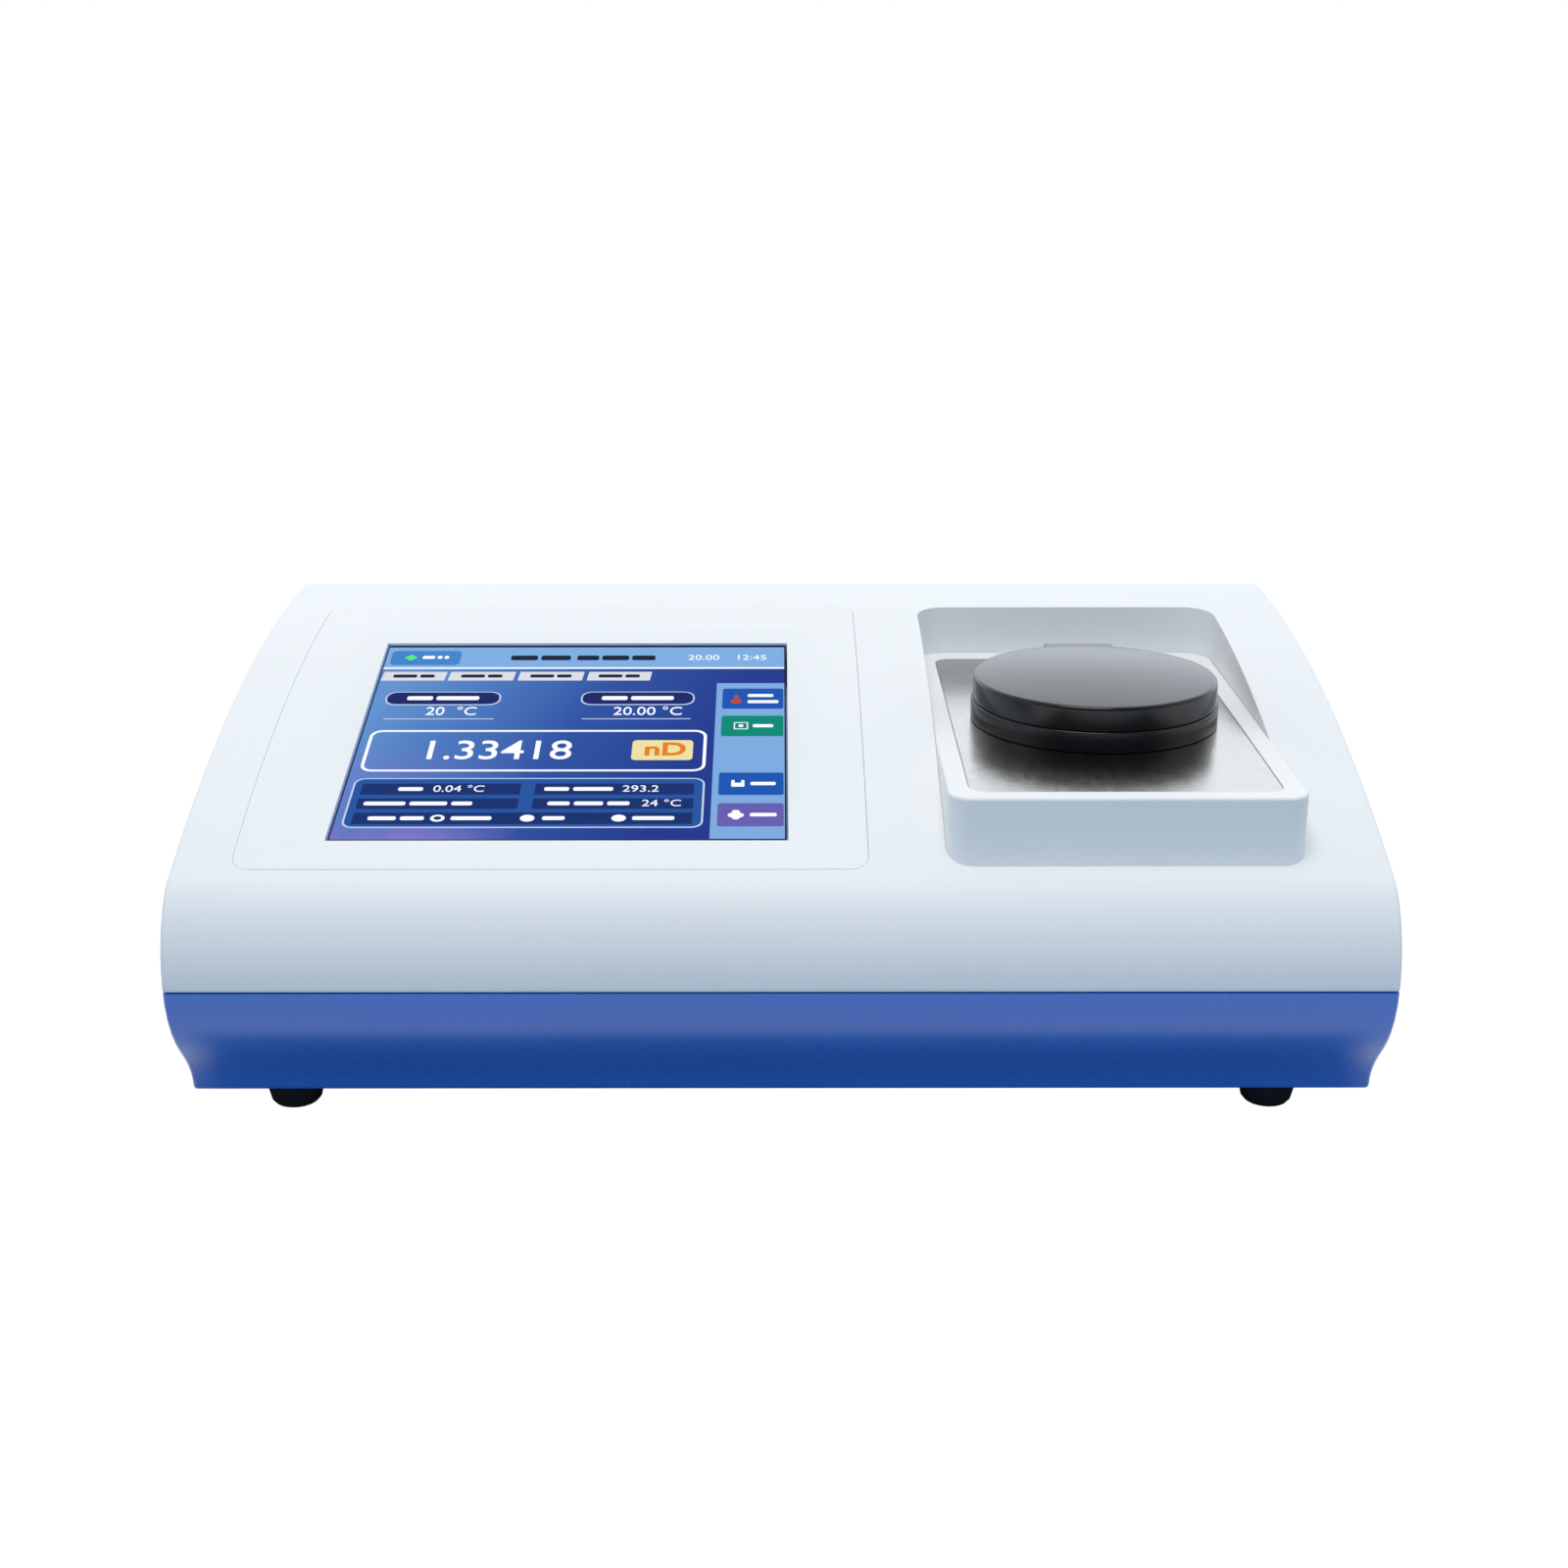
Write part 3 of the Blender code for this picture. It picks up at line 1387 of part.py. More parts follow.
def lens(name, beam, place):
    """A lens with two bulging faces, which fills its barrel but for a gap."""
    middle = -BARREL_START - place
    radius = BARREL_BORE - GAP
    bulge = (LENS_THICKNESS - LENS_EDGE) / 2
    top = [(radius * s, LENS_EDGE / 2 + bulge * (1 - s * s)) for s in LENS_SHARES]
    bottom = [(r, -height) for r, height in reversed(top)]
    profile = [(r, middle + height) for r, height in top + bottom]
    made = turned(name, profile, (0, 0, 0), CLEAR_GLASS, ROD_STEPS, closed=False)
    hang_on(beam, made)


def light_source():
    """The lamp plug at the end of its barrel, with its dome towards the lens."""
    plug = BARREL_BORE - GAP
    flange = -BARREL_END - GAP
    face = LAMP_PLUG_LENGTH - BARREL_END
    base = face + LAMP_DOME_LENGTH - LAMP_DOME_RADIUS
    profile = []
    for step in range(LAMP_DOME_STEPS + 1):
        angle = math.pi / 2 * (1 - step / LAMP_DOME_STEPS)
        height = base + LAMP_DOME_RADIUS * math.sin(angle)
        profile.append((LAMP_DOME_RADIUS * math.cos(angle) if step else 0, height))
    profile += [
        (LAMP_DOME_RADIUS, face),
        (plug, face),
        (plug, flange),
        (BARREL_RADIUS, flange),
        (BARREL_RADIUS, flange - LAMP_FLANGE),
        (0, flange - LAMP_FLANGE),
    ]
    lamp = turned("light_source", profile, (0, 0, 0), BLACK_PLASTIC, ROD_STEPS, False)
    hang_on(BEAMS["light"], lamp)


def sensor_board():
    half = SENSOR_BOARD_SIZE / 2
    top = -BARREL_END - GAP
    low = top - BOARD_THICKNESS
    board = box("sensor_board", (-half, -half, low), (half, half, top), BOARD_GREEN)
    chip = box(
        "sensor_chip",
        (-SENSOR_CHIP_WIDTH / 2, -SENSOR_CHIP_DEPTH / 2, top - BOARD_THICKNESS / 2),
        (SENSOR_CHIP_WIDTH / 2, SENSOR_CHIP_DEPTH / 2, top + SENSOR_CHIP_HEIGHT),
    )
    hang_on(BEAMS["sensor"], board, chip)
    join(board, chip)


def optics_stand():
    """A foot on the chassis with four columns that carry the block."""
    half_x = COLUMN_X + COLUMN_RADIUS + STAND_BASE_MARGIN
    half_y = COLUMN_Y + COLUMN_RADIUS + STAND_BASE_MARGIN
    low = CHASSIS_TOP + GAP
    high = low + STAND_BASE_THICKNESS
    stand = box(
        "optics_stand",
        (STAGE_X - half_x, STAGE_Y - half_y, low),
        (STAGE_X + half_x, STAGE_Y + half_y, high),
        ALUMINIUM,
        radius=COLUMN_RADIUS,
    )
    corners = [(x, y) for x in (-1, 1) for y in (-1, 1)]
    for i, (side_x, side_y) in enumerate(corners):
        x = STAGE_X + side_x * COLUMN_X
        y = STAGE_Y + side_y * COLUMN_Y
        column = rod(
            f"stand_column_{i}",
            COLUMN_RADIUS,
            (x, y, low + STAND_BASE_THICKNESS / 2),
            (x, y, BLOCK_BOTTOM - GAP),
            steps=BOSS_STEPS,
        )
        join(stand, column)
    return stand


def peltier_plate():
    front = BLOCK_BACK_Y + GAP
    high = BLOCK_TOP - GAP
    half = PELTIER_WIDTH / 2
    return box(
        "peltier_plate",
        (STAGE_X - half, front, high - PELTIER_HEIGHT),
        (STAGE_X + half, front + PELTIER_THICKNESS, high),
        CERAMIC,
    )


def heat_sink():
    high = BLOCK_TOP - GAP
    low = high - SINK_HEIGHT
    left = STAGE_X - SINK_WIDTH / 2
    base_back = SINK_FRONT_Y + SINK_BASE
    sink = box(
        "heat_sink",
        (left, SINK_FRONT_Y, low),
        (left + SINK_WIDTH, base_back, high),
        ALUMINIUM,
    )
    fins = box(
        "sink_fins",
        (left, base_back - SINK_BASE / 2, low),
        (left + FIN_THICKNESS, base_back + FIN_LENGTH, high),
    )
    row = fins.modifiers.new("row", "ARRAY")
    row.count = FIN_COUNT
    row.use_relative_offset = False
    row.use_constant_offset = True
    pitch = (SINK_WIDTH - FIN_THICKNESS) / (FIN_COUNT - 1)
    row.constant_offset_displace = (pitch, 0, 0)
    return join(sink, fins)


# Round cover: ring, lid, seal and hinge pin


def hinge_rod(name, radius, half_length, finish=None, steps=BOSS_STEPS):
    reach = Vector((half_length, 0, 0))
    return rod(name, radius, HINGE - reach, HINGE + reach, finish, steps)


PIN_HOLE = hinge_rod("pin_hole", PIN_RADIUS + GAP, TAB_WIDTH, steps=SCREW_STEPS)


def web_reach():
    """How far the web may run behind the hinge, clear of the open lid's hood."""
    inner = KNUCKLE_RADIUS + KNUCKLE_CLEARANCE
    hood_angle = math.acos(HOOD_REACH / inner)
    return inner * math.cos(LID_TRAVEL - hood_angle) - KNUCKLE_CLEARANCE


def cover_ring():
    bore = WELL_RADIUS + GAP
    profile = [
        (LAND_RADIUS, RING_TOP),
        (RING_RADIUS - RING_CHAMFER, RING_TOP),
        (RING_RADIUS, RING_TOP - RING_CHAMFER),
        (RING_RADIUS, RING_BOTTOM),
        (bore, RING_BOTTOM),
        (bore, LAND_TOP),
        (LAND_RADIUS, LAND_TOP),
    ]
    place = (STAGE_X, STAGE_Y, 0)
    ring = turned("cover_ring", profile, place, BLACK_PLASTIC, DISC_STEPS)
    half = KNUCKLE_WIDTH / 2
    web = box(
        "ring_web",
        (STAGE_X - half, HINGE.y - KNUCKLE_RADIUS, RING_BOTTOM),
        (STAGE_X + half, HINGE.y + web_reach(), HINGE.z),
    )
    join(ring, web, hinge_rod("ring_knuckle", KNUCKLE_RADIUS, half))
    return cut(ring, PIN_HOLE)


def lid():
    """The lid disc, and the tab that hoods the front of the ring's knuckle."""
    groove_top = LID_BOTTOM + GASKET_SINK + GAP
    groove_in = GASKET_RADIUS - GASKET_WIDTH / 2 - GAP
    groove_out = GASKET_RADIUS + GASKET_WIDTH / 2 + GAP
    hollow_top = LID_BOTTOM + LID_HOLLOW_DEPTH
    profile = [(0, LID_TOP)]
    for i in range(LID_ROUND_STEPS + 1):
        angle = math.pi / 2 * (1 - i / LID_ROUND_STEPS)
        radius = LID_RADIUS - LID_ROUND + LID_ROUND * math.cos(angle)
        profile.append((radius, LID_TOP - LID_ROUND + LID_ROUND * math.sin(angle)))
    profile += [
        (LID_RADIUS, LID_BOTTOM),
        (groove_out, LID_BOTTOM),
        (groove_out, groove_top),
        (groove_in, groove_top),
        (groove_in, LID_BOTTOM),
        (LID_HOLLOW_RADIUS, LID_BOTTOM),
        (LID_HOLLOW_RADIUS, hollow_top),
        (0, hollow_top),
    ]
    place = (STAGE_X, STAGE_Y, 0)
    disc = turned("lid", profile, place, BLACK_PLASTIC, DISC_STEPS, closed=False)
    half = TAB_WIDTH / 2
    tab = box(
        "lid_tab",
        (STAGE_X - half, STAGE_Y + groove_out + GAP, LID_BOTTOM + TAB_STEP),
        (STAGE_X + half, HINGE.y, TAB_TOP),
    )
    notch_radius = KNUCKLE_RADIUS + KNUCKLE_CLEARANCE
    notch_half = KNUCKLE_WIDTH / 2 + KNUCKLE_CLEARANCE
    notch_back = HINGE.y + HINGE_DROP + OVERRUN
    notch = box(
        "lid_notch",
        (STAGE_X - notch_half, HINGE.y - notch_radius, LID_BOTTOM - OVERRUN),
        (STAGE_X + notch_half, notch_back, HINGE.z),
    )
    slot = box(
        "lid_slot",
        (STAGE_X - notch_half, HINGE.y + HOOD_REACH, LID_BOTTOM - OVERRUN),
        (STAGE_X + notch_half, notch_back, LID_TOP + OVERRUN),
    )
    notch_round = hinge_rod("lid_notch_round", notch_radius, notch_half)
    join(disc, tab, hinge_rod("tab_round", HINGE_DROP, half, steps=ROD_STEPS))
    return cut(disc, notch, notch_round, slot, PIN_HOLE)


def lid_gasket():
    high = LID_BOTTOM + GASKET_SINK
    low = LAND_TOP + GAP
    inner = GASKET_RADIUS - GASKET_WIDTH / 2
    outer = GASKET_RADIUS + GASKET_WIDTH / 2
    profile = [(inner, high), (outer, high), (outer, low), (inner, low)]
    return turned("lid_gasket", profile, (STAGE_X, STAGE_Y, 0), BLACK_RUBBER)


def round_cover():
    cover_ring()
    hinge_rod("hinge_pin", PIN_RADIUS, TAB_WIDTH / 2 - GAP, BRIGHT_STEEL, SCREW_STEPS)
    pivot_on(empty("lid_pivot", HINGE), lid(), lid_gasket())


# Electronics on the chassis


def main_board():
    low = Vector((MAIN_LEFT_X, MAIN_FRONT_Y, BOARD_BOTTOM))
    high = Vector((MAIN_RIGHT_X, REAR_INNER_Y - MAIN_BACK_GAP, BOARD_TOP))
    size = high - low
    inside = BOARD_TOP - BOARD_THICKNESS / 2
    board = box("main_board", low, high, BOARD_GREEN)
    for i, (share_x, share_y) in enumerate(CHIP_PLACE_SHARES):
        x = low.x + size.x * share_x
        y = low.y + size.y * share_y
        half = CHIP_WIDTH / 2
        chip = box(
            f"main_chip_{i}",
            (x - half, y - half, inside),
            (x + half, y + half, BOARD_TOP + CHIP_HEIGHT),
        )
        join(board, chip)
    for i, (share_x, share_y) in enumerate(CAN_PLACE_SHARES):
        x = low.x + size.x * share_x
        y = low.y + size.y * share_y
        name = f"main_can_{i}"
        can_top = BOARD_TOP + CAN_HEIGHT
        join(board, rod(name, CAN_RADIUS, (x, y, inside), (x, y, can_top), steps=BOSS_STEPS))
    return board


def power_supply():
    low = CHASSIS_TOP + GAP
    high = low + SUPPLY_HEIGHT
    right = SUPPLY_LEFT_X + SUPPLY_WIDTH
    back = SUPPLY_FRONT_Y + SUPPLY_DEPTH
    shelf_y = back - SUPPLY_SHELF
    shelf_z = high - SUPPLY_SHELF_DROP
    case = box(
        "power_supply",
        (SUPPLY_LEFT_X, SUPPLY_FRONT_Y, low),
        (right, back, high),
        ALUMINIUM,
    )
    shelf = box(
        "supply_shelf",
        (SUPPLY_LEFT_X - OVERRUN, shelf_y, shelf_z),
        (right + OVERRUN, back + OVERRUN, high + OVERRUN),
    )
    middle = (SUPPLY_LEFT_X + right) / 2
    terminals = box(
        "supply_terminals",
        (middle - TERMINAL_WIDTH / 2, shelf_y - SUPPLY_SHELF / 2, shelf_z - TERMINAL_HEIGHT),
        (middle + TERMINAL_WIDTH / 2, shelf_y + TERMINAL_DEPTH, shelf_z + TERMINAL_HEIGHT),
    )
    cut(case, shelf)
    return join(case, terminals)


# Rear panel and what it carries


def rear_panel():
    panel = box(
        "rear_panel",
        (GAP - PANEL_HALF_WIDTH, PANEL_BACK_Y, PANEL_LOW + GAP),
        (PANEL_HALF_WIDTH - GAP, PANEL_FACE_Y, PANEL_HIGH - GAP),
        GREY_PAINT,
        radius=PANEL_CORNER - GAP,
        along="Y",
    )
    slots_width = VENT_PITCH * (VENT_COUNT - 1) + VENT_WIDTH
    vents = box(
        "vent_slots",
        (FAN_X - slots_width / 2, PANEL_BACK_Y - OVERRUN, FAN_Z - FAN_BORE_RADIUS),
        (
            FAN_X - slots_width / 2 + VENT_WIDTH,
            PANEL_FACE_Y + OVERRUN,
            FAN_Z + FAN_BORE_RADIUS,
        ),
    )
    row = vents.modifiers.new("row", "ARRAY")
    row.count = VENT_COUNT
    row.use_relative_offset = False
    row.use_constant_offset = True
    row.constant_offset_displace = (VENT_PITCH, 0, 0)
    cut(panel, vents, *PANEL_SCREW_HOLES)
    cut(
        panel,
        panel_hole("inlet_hole", INLET_X, INLET_Z, INLET_WIDTH, INLET_HEIGHT),
        panel_hole("switch_hole", SWITCH_X, SWITCH_Z, SWITCH_WIDTH, SWITCH_HEIGHT),
        panel_hole("usb_hole", USB_X, PORT_BOTTOM + USB_HEIGHT / 2, USB_WIDTH, USB_HEIGHT),
        panel_hole(
            "network_hole",
            NETWORK_X,
            PORT_BOTTOM + NETWORK_HEIGHT / 2,
            NETWORK_WIDTH,
            NETWORK_HEIGHT,
        ),
        panel_hole(
            "serial_hole",
            SERIAL_X,
            PORT_BOTTOM + SERIAL_HEIGHT / 2,
            SERIAL_NOSE_WIDTH,
            SERIAL_NOSE_HEIGHT,
        ),
    )
    return panel


def panel_hole(name, x, z, width, height):
    half_width = width / 2 + PANEL_CLEARANCE
    half_height = height / 2 + PANEL_CLEARANCE
    return box(
        name,
        (x - half_width, PANEL_BACK_Y - OVERRUN, z - half_height),
        (x + half_width, PANEL_FACE_Y + OVERRUN, z + half_height),
    )


def facing_box(name, centre, size, front, back, finish=None, **shape):
    """A box round a centre (x, z) of a given width and height, between two depths."""
    x, z = centre
    width, height = size
    return box(
        name,
        (x - width / 2, front, z - height / 2),
        (x + width / 2, back, z + height / 2),
        finish,
        **shape,
    )


def power_inlet():
    centre = (INLET_X, INLET_Z)
    face = PANEL_FACE_Y + GAP + INLET_FLANGE
    inlet = facing_box(
        "power_inlet",
        centre,
        (INLET_WIDTH, INLET_HEIGHT),
        face - INLET_DEPTH,
        face - INLET_FLANGE / 2,
        BLACK_PLASTIC,
    )
    flange = facing_box(
        "inlet_flange",
        centre,
        (INLET_WIDTH + 2 * INLET_FLANGE_MARGIN, INLET_HEIGHT + 2 * INLET_FLANGE_MARGIN),
        face - INLET_FLANGE,
        face,
    )
    left = INLET_X - INLET_MOUTH_WIDTH / 2
    right = INLET_X + INLET_MOUTH_WIDTH / 2
    low = INLET_Z - INLET_MOUTH_HEIGHT / 2
    high = INLET_Z + INLET_MOUTH_HEIGHT / 2
    outline = [
        (left, low),
        (right, low),
        (right, high - INLET_MOUTH_CUT),
        (right - INLET_MOUTH_CUT, high),
        (left + INLET_MOUTH_CUT, high),
        (left, high - INLET_MOUTH_CUT),
    ]
    floor = face - INLET_MOUTH_DEPTH
    mouth = front_slice("inlet_mouth", outline, floor, face + OVERRUN)
    join(inlet, flange)
    cut(inlet, mouth)
    for i in (-1, 0, 1):
        z = INLET_Z + (0 if i else INLET_EARTH_LIFT)
        pin = facing_box(
            f"inlet_pin_{i + 2}",
            (INLET_X + i * INLET_PIN_SPACING, z),
            (INLET_PIN_WIDTH, INLET_PIN_HEIGHT),
            floor - OVERRUN / 2,
            floor + INLET_PIN_LENGTH,
        )
        join(inlet, pin)
    return inlet


def power_switch():
    """The switch housing, and the rocker that tilts in it."""
    centre = (SWITCH_X, SWITCH_Z)
    face = PANEL_FACE_Y + GAP + SWITCH_FLANGE
    margin = 2 * SWITCH_FLANGE_MARGIN
    pivot = Vector((SWITCH_X, face - ROCKER_PIVOT_SINK, SWITCH_Z))
    housing = facing_box(
        "switch_housing",
        centre,
        (SWITCH_WIDTH, SWITCH_HEIGHT),
        face - SWITCH_DEPTH,
        face - SWITCH_FLANGE / 2,
        BLACK_PLASTIC,
    )
    flange = facing_box(
        "switch_flange",
        centre,
        (SWITCH_WIDTH + margin, SWITCH_HEIGHT + margin),
        face - SWITCH_FLANGE,
        face,
    )
    hollow_size = (SWITCH_WIDTH - 2 * SWITCH_WALL, SWITCH_HEIGHT - 2 * SWITCH_WALL)
    hollow = facing_box(
        "switch_hollow",
        centre,
        hollow_size,
        face - SWITCH_DEPTH + SWITCH_FLOOR,
        face + OVERRUN,
    )
    half = SWITCH_WIDTH / 2 - SWITCH_WALL
    pin_half = half + ROCKER_PIN_REACH - ROCKER_SIDE_GAP
    bearing_reach = Vector((pin_half + GAP, 0, 0))
    bearing = rod(
        "rocker_bearing",
        ROCKER_PIN_RADIUS + GAP,
        pivot - bearing_reach,
        pivot + bearing_reach,
        steps=SCREW_STEPS,
    )
    join(housing, flange)
    cut(housing, hollow, bearing)

    rocker_half = half - ROCKER_SIDE_GAP
    end = hollow_size[1] / 2 - ROCKER_END_GAP
    outline = [
        (-ROCKER_BACK, -end),
        (ROCKER_END_RISE, -end),
        (ROCKER_MIDDLE_RISE, 0),
        (ROCKER_END_RISE, end),
        (-ROCKER_BACK, end),
    ]
    rocker = side_slice(
        "switch_rocker", outline, -rocker_half, rocker_half, BLACK_PLASTIC
    )
    pin_reach = Vector((pin_half, 0, 0))
    pin = rod("rocker_pin", ROCKER_PIN_RADIUS, -pin_reach, pin_reach, steps=SCREW_STEPS)
    hang_on(empty("rocker_pivot", pivot, (ROCKER_TILT, 0, 0)), rocker, pin)
    join(rocker, pin)


def usb_port():
    front = PANEL_FACE_Y + PORT_PROUD - USB_DEPTH
    back = PANEL_FACE_Y + PORT_PROUD
    centre = (USB_X, PORT_BOTTOM + USB_HEIGHT / 2)
    shell_size = (USB_WIDTH, USB_HEIGHT)
    port = facing_box("usb_port", centre, shell_size, front, back, BRIGHT_STEEL)
    mouth_size = (USB_WIDTH - 2 * USB_WALL, USB_HEIGHT - 2 * USB_WALL)
    floor = back - USB_MOUTH_DEPTH
    mouth = facing_box("usb_mouth", centre, mouth_size, floor, back + OVERRUN)
    tongue = facing_box(
        "usb_tongue",
        centre,
        (USB_TONGUE_WIDTH, USB_TONGUE_THICKNESS),
        (front + floor) / 2,
        floor + USB_TONGUE_LENGTH,
    )
    cut(port, mouth)
    return join(port, tongue)


def network_port():
    front = PANEL_FACE_Y + PORT_PROUD - NETWORK_DEPTH
    back = PANEL_FACE_Y + PORT_PROUD
    centre = (NETWORK_X, PORT_BOTTOM + NETWORK_HEIGHT / 2)
    size = (NETWORK_WIDTH, NETWORK_HEIGHT)
    port = facing_box("network_port", centre, size, front, back, BRIGHT_STEEL)
    floor = back - NETWORK_MOUTH_DEPTH
    mouth_size = (NETWORK_MOUTH_WIDTH, NETWORK_MOUTH_HEIGHT)
    mouth = facing_box("network_mouth", centre, mouth_size, floor, back + OVERRUN)
    notch_low = centre[1] - NETWORK_MOUTH_HEIGHT / 2
    notch = facing_box(
        "network_notch",
        (NETWORK_X, notch_low),
        (NETWORK_NOTCH_WIDTH, NETWORK_NOTCH_HEIGHT * 2),
        floor,
        back + OVERRUN,
    )
    return cut(port, mouth, notch)


def serial_port():
    middle = PORT_BOTTOM + SERIAL_HEIGHT / 2
    back = PANEL_BACK_Y - GAP
    nose_back = PANEL_FACE_Y + SERIAL_NOSE_REACH
    port = facing_box(
        "serial_port",
        (SERIAL_X, middle),
        (SERIAL_WIDTH, SERIAL_HEIGHT),
        back - SERIAL_DEPTH,
        back,
        BRIGHT_STEEL,
    )
    half_top = SERIAL_NOSE_WIDTH / 2
    half_low = half_top - SERIAL_NOSE_SLOPE
    high = middle + SERIAL_NOSE_HEIGHT / 2
    low = middle - SERIAL_NOSE_HEIGHT / 2
    outline = [
        (SERIAL_X - half_low, low),
        (SERIAL_X + half_low, low),
        (SERIAL_X + half_top, high),
        (SERIAL_X - half_top, high),
    ]
    nose = front_slice("serial_nose", outline, back - SERIAL_DEPTH / 2, nose_back)
    join(port, nose)
    for row in range(2):
        count = SERIAL_TOP_ROW - row
        z = middle + SERIAL_ROW_PITCH * (0.5 - row)
        for i in range(count):
            x = SERIAL_X + SERIAL_HOLE_PITCH * (i - (count - 1) / 2)
            hole = rod(
                f"serial_hole_{row}_{i}",
                SERIAL_HOLE_RADIUS,
                (x, nose_back - SERIAL_HOLE_DEPTH, z),
                (x, nose_back + OVERRUN, z),
                steps=6,
            )
            cut(port, hole)
    return port


# Fan


def fan_frame():
    centre = (FAN_X, FAN_Z)
    frame = facing_box(
        "fan_frame",
        centre,
        (FAN_SIZE, FAN_SIZE),
        FAN_FRONT_Y,
        FAN_REAR_Y,
        BLACK_PLASTIC,
        radius=FAN_CORNER,
        along="Y",
        steps=3,
    )
    bore = rod(
        "fan_bore",
        FAN_BORE_RADIUS,
        (FAN_X, FAN_FRONT_Y - OVERRUN, FAN_Z),
        (FAN_X, FAN_REAR_Y + OVERRUN, FAN_Z),
        steps=RING_STEPS,
    )
    strut_front = FAN_REAR_Y - FAN_STRUT_THICKNESS
    span = 2 * FAN_BORE_RADIUS + FAN_SHAFT_RADIUS
    flat = facing_box(
        "fan_strut_flat", centre, (span, FAN_STRUT_WIDTH), strut_front, FAN_REAR_Y
    )
    upright = facing_box(
        "fan_strut_upright", centre, (FAN_STRUT_WIDTH, span), strut_front, FAN_REAR_Y
    )
    motor = rod(
        "fan_motor",
        FAN_HUB_RADIUS,
        (FAN_X, strut_front, FAN_Z),
        (FAN_X, FAN_REAR_Y, FAN_Z),
    )
    bearing = rod(
        "fan_bearing",
        FAN_SHAFT_RADIUS + GAP,
        (FAN_X, strut_front - OVERRUN, FAN_Z),
        (FAN_X, FAN_REAR_Y + OVERRUN, FAN_Z),
        steps=SCREW_STEPS,
    )
    cut(frame, bore)
    join(frame, flat, upright, motor)
    return cut(frame, bearing)


def fan_rotor():
    """Hub, blades and shaft about the Y axis of the pivot, which lies mid-hub."""
    hub_front = FAN_FRONT_Y + GAP
    hub_rear = FAN_REAR_Y - FAN_STRUT_THICKNESS - RUNNING_GAP
    pivot = Vector((FAN_X, (hub_front + hub_rear) / 2, FAN_Z))
    half = (hub_rear - hub_front) / 2
    rotor = rod("fan_rotor", FAN_HUB_RADIUS, (0, -half, 0), (0, half, 0), BLACK_PLASTIC)
    shaft_end = FAN_REAR_Y - GAP - pivot.y
    shaft = rod(
        "fan_shaft", FAN_SHAFT_RADIUS, (0, 0, 0), (0, shaft_end, 0), steps=SCREW_STEPS
    )
    turn = empty("fan_pivot", pivot)
    hang_on(turn, rotor, shaft)
    join(rotor, shaft)
    for i in range(FAN_BLADES):
        blade = box(
            f"fan_blade_{i}",
            (-FAN_BLADE_THICKNESS / 2, -FAN_BLADE_WIDTH / 2, FAN_HUB_RADIUS - FAN_BLADE_ROOT),
            (FAN_BLADE_THICKNESS / 2, FAN_BLADE_WIDTH / 2, FAN_BORE_RADIUS - FAN_BLADE_GAP),
        )
        blade.data.transform(Matrix.Rotation(FAN_BLADE_PITCH, 4, "Z"))
        blade.rotation_euler = (0, 2 * math.pi * i / FAN_BLADES, 0)
        hang_on(turn, blade)
        join(rotor, blade)


# The whole instrument


def build_all():
    top_cover()
    base_shell()
    chassis_plate()
    case_screws()
    panel_screws()
    feet()

    display_bezel()
    touch_glass()
    lcd_module()
    display_bracket()
    display_board()

    sample_tray()
    stage_plate()
    round_cover()
    sample_well()

    prism()
    prism_seal()
    prism_block()
    peltier_plate()
    heat_sink()
    optics_stand()
    barrel("light_barrel", BEAMS["light"])
    barrel("sensor_barrel", BEAMS["sensor"])
    lens("collimator_lens", BEAMS["light"], COLLIMATOR_PLACE)
    lens("objective_lens", BEAMS["sensor"], OBJECTIVE_PLACE)
    light_source()
    sensor_board()

    main_board()
    power_supply()
    rear_panel()
    power_inlet()
    power_switch()
    usb_port()
    network_port()
    serial_port()
    fan_frame()
    fan_rotor()


build_all()
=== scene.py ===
import json
import math

import bmesh
import bpy
from mathutils import Matrix, Vector

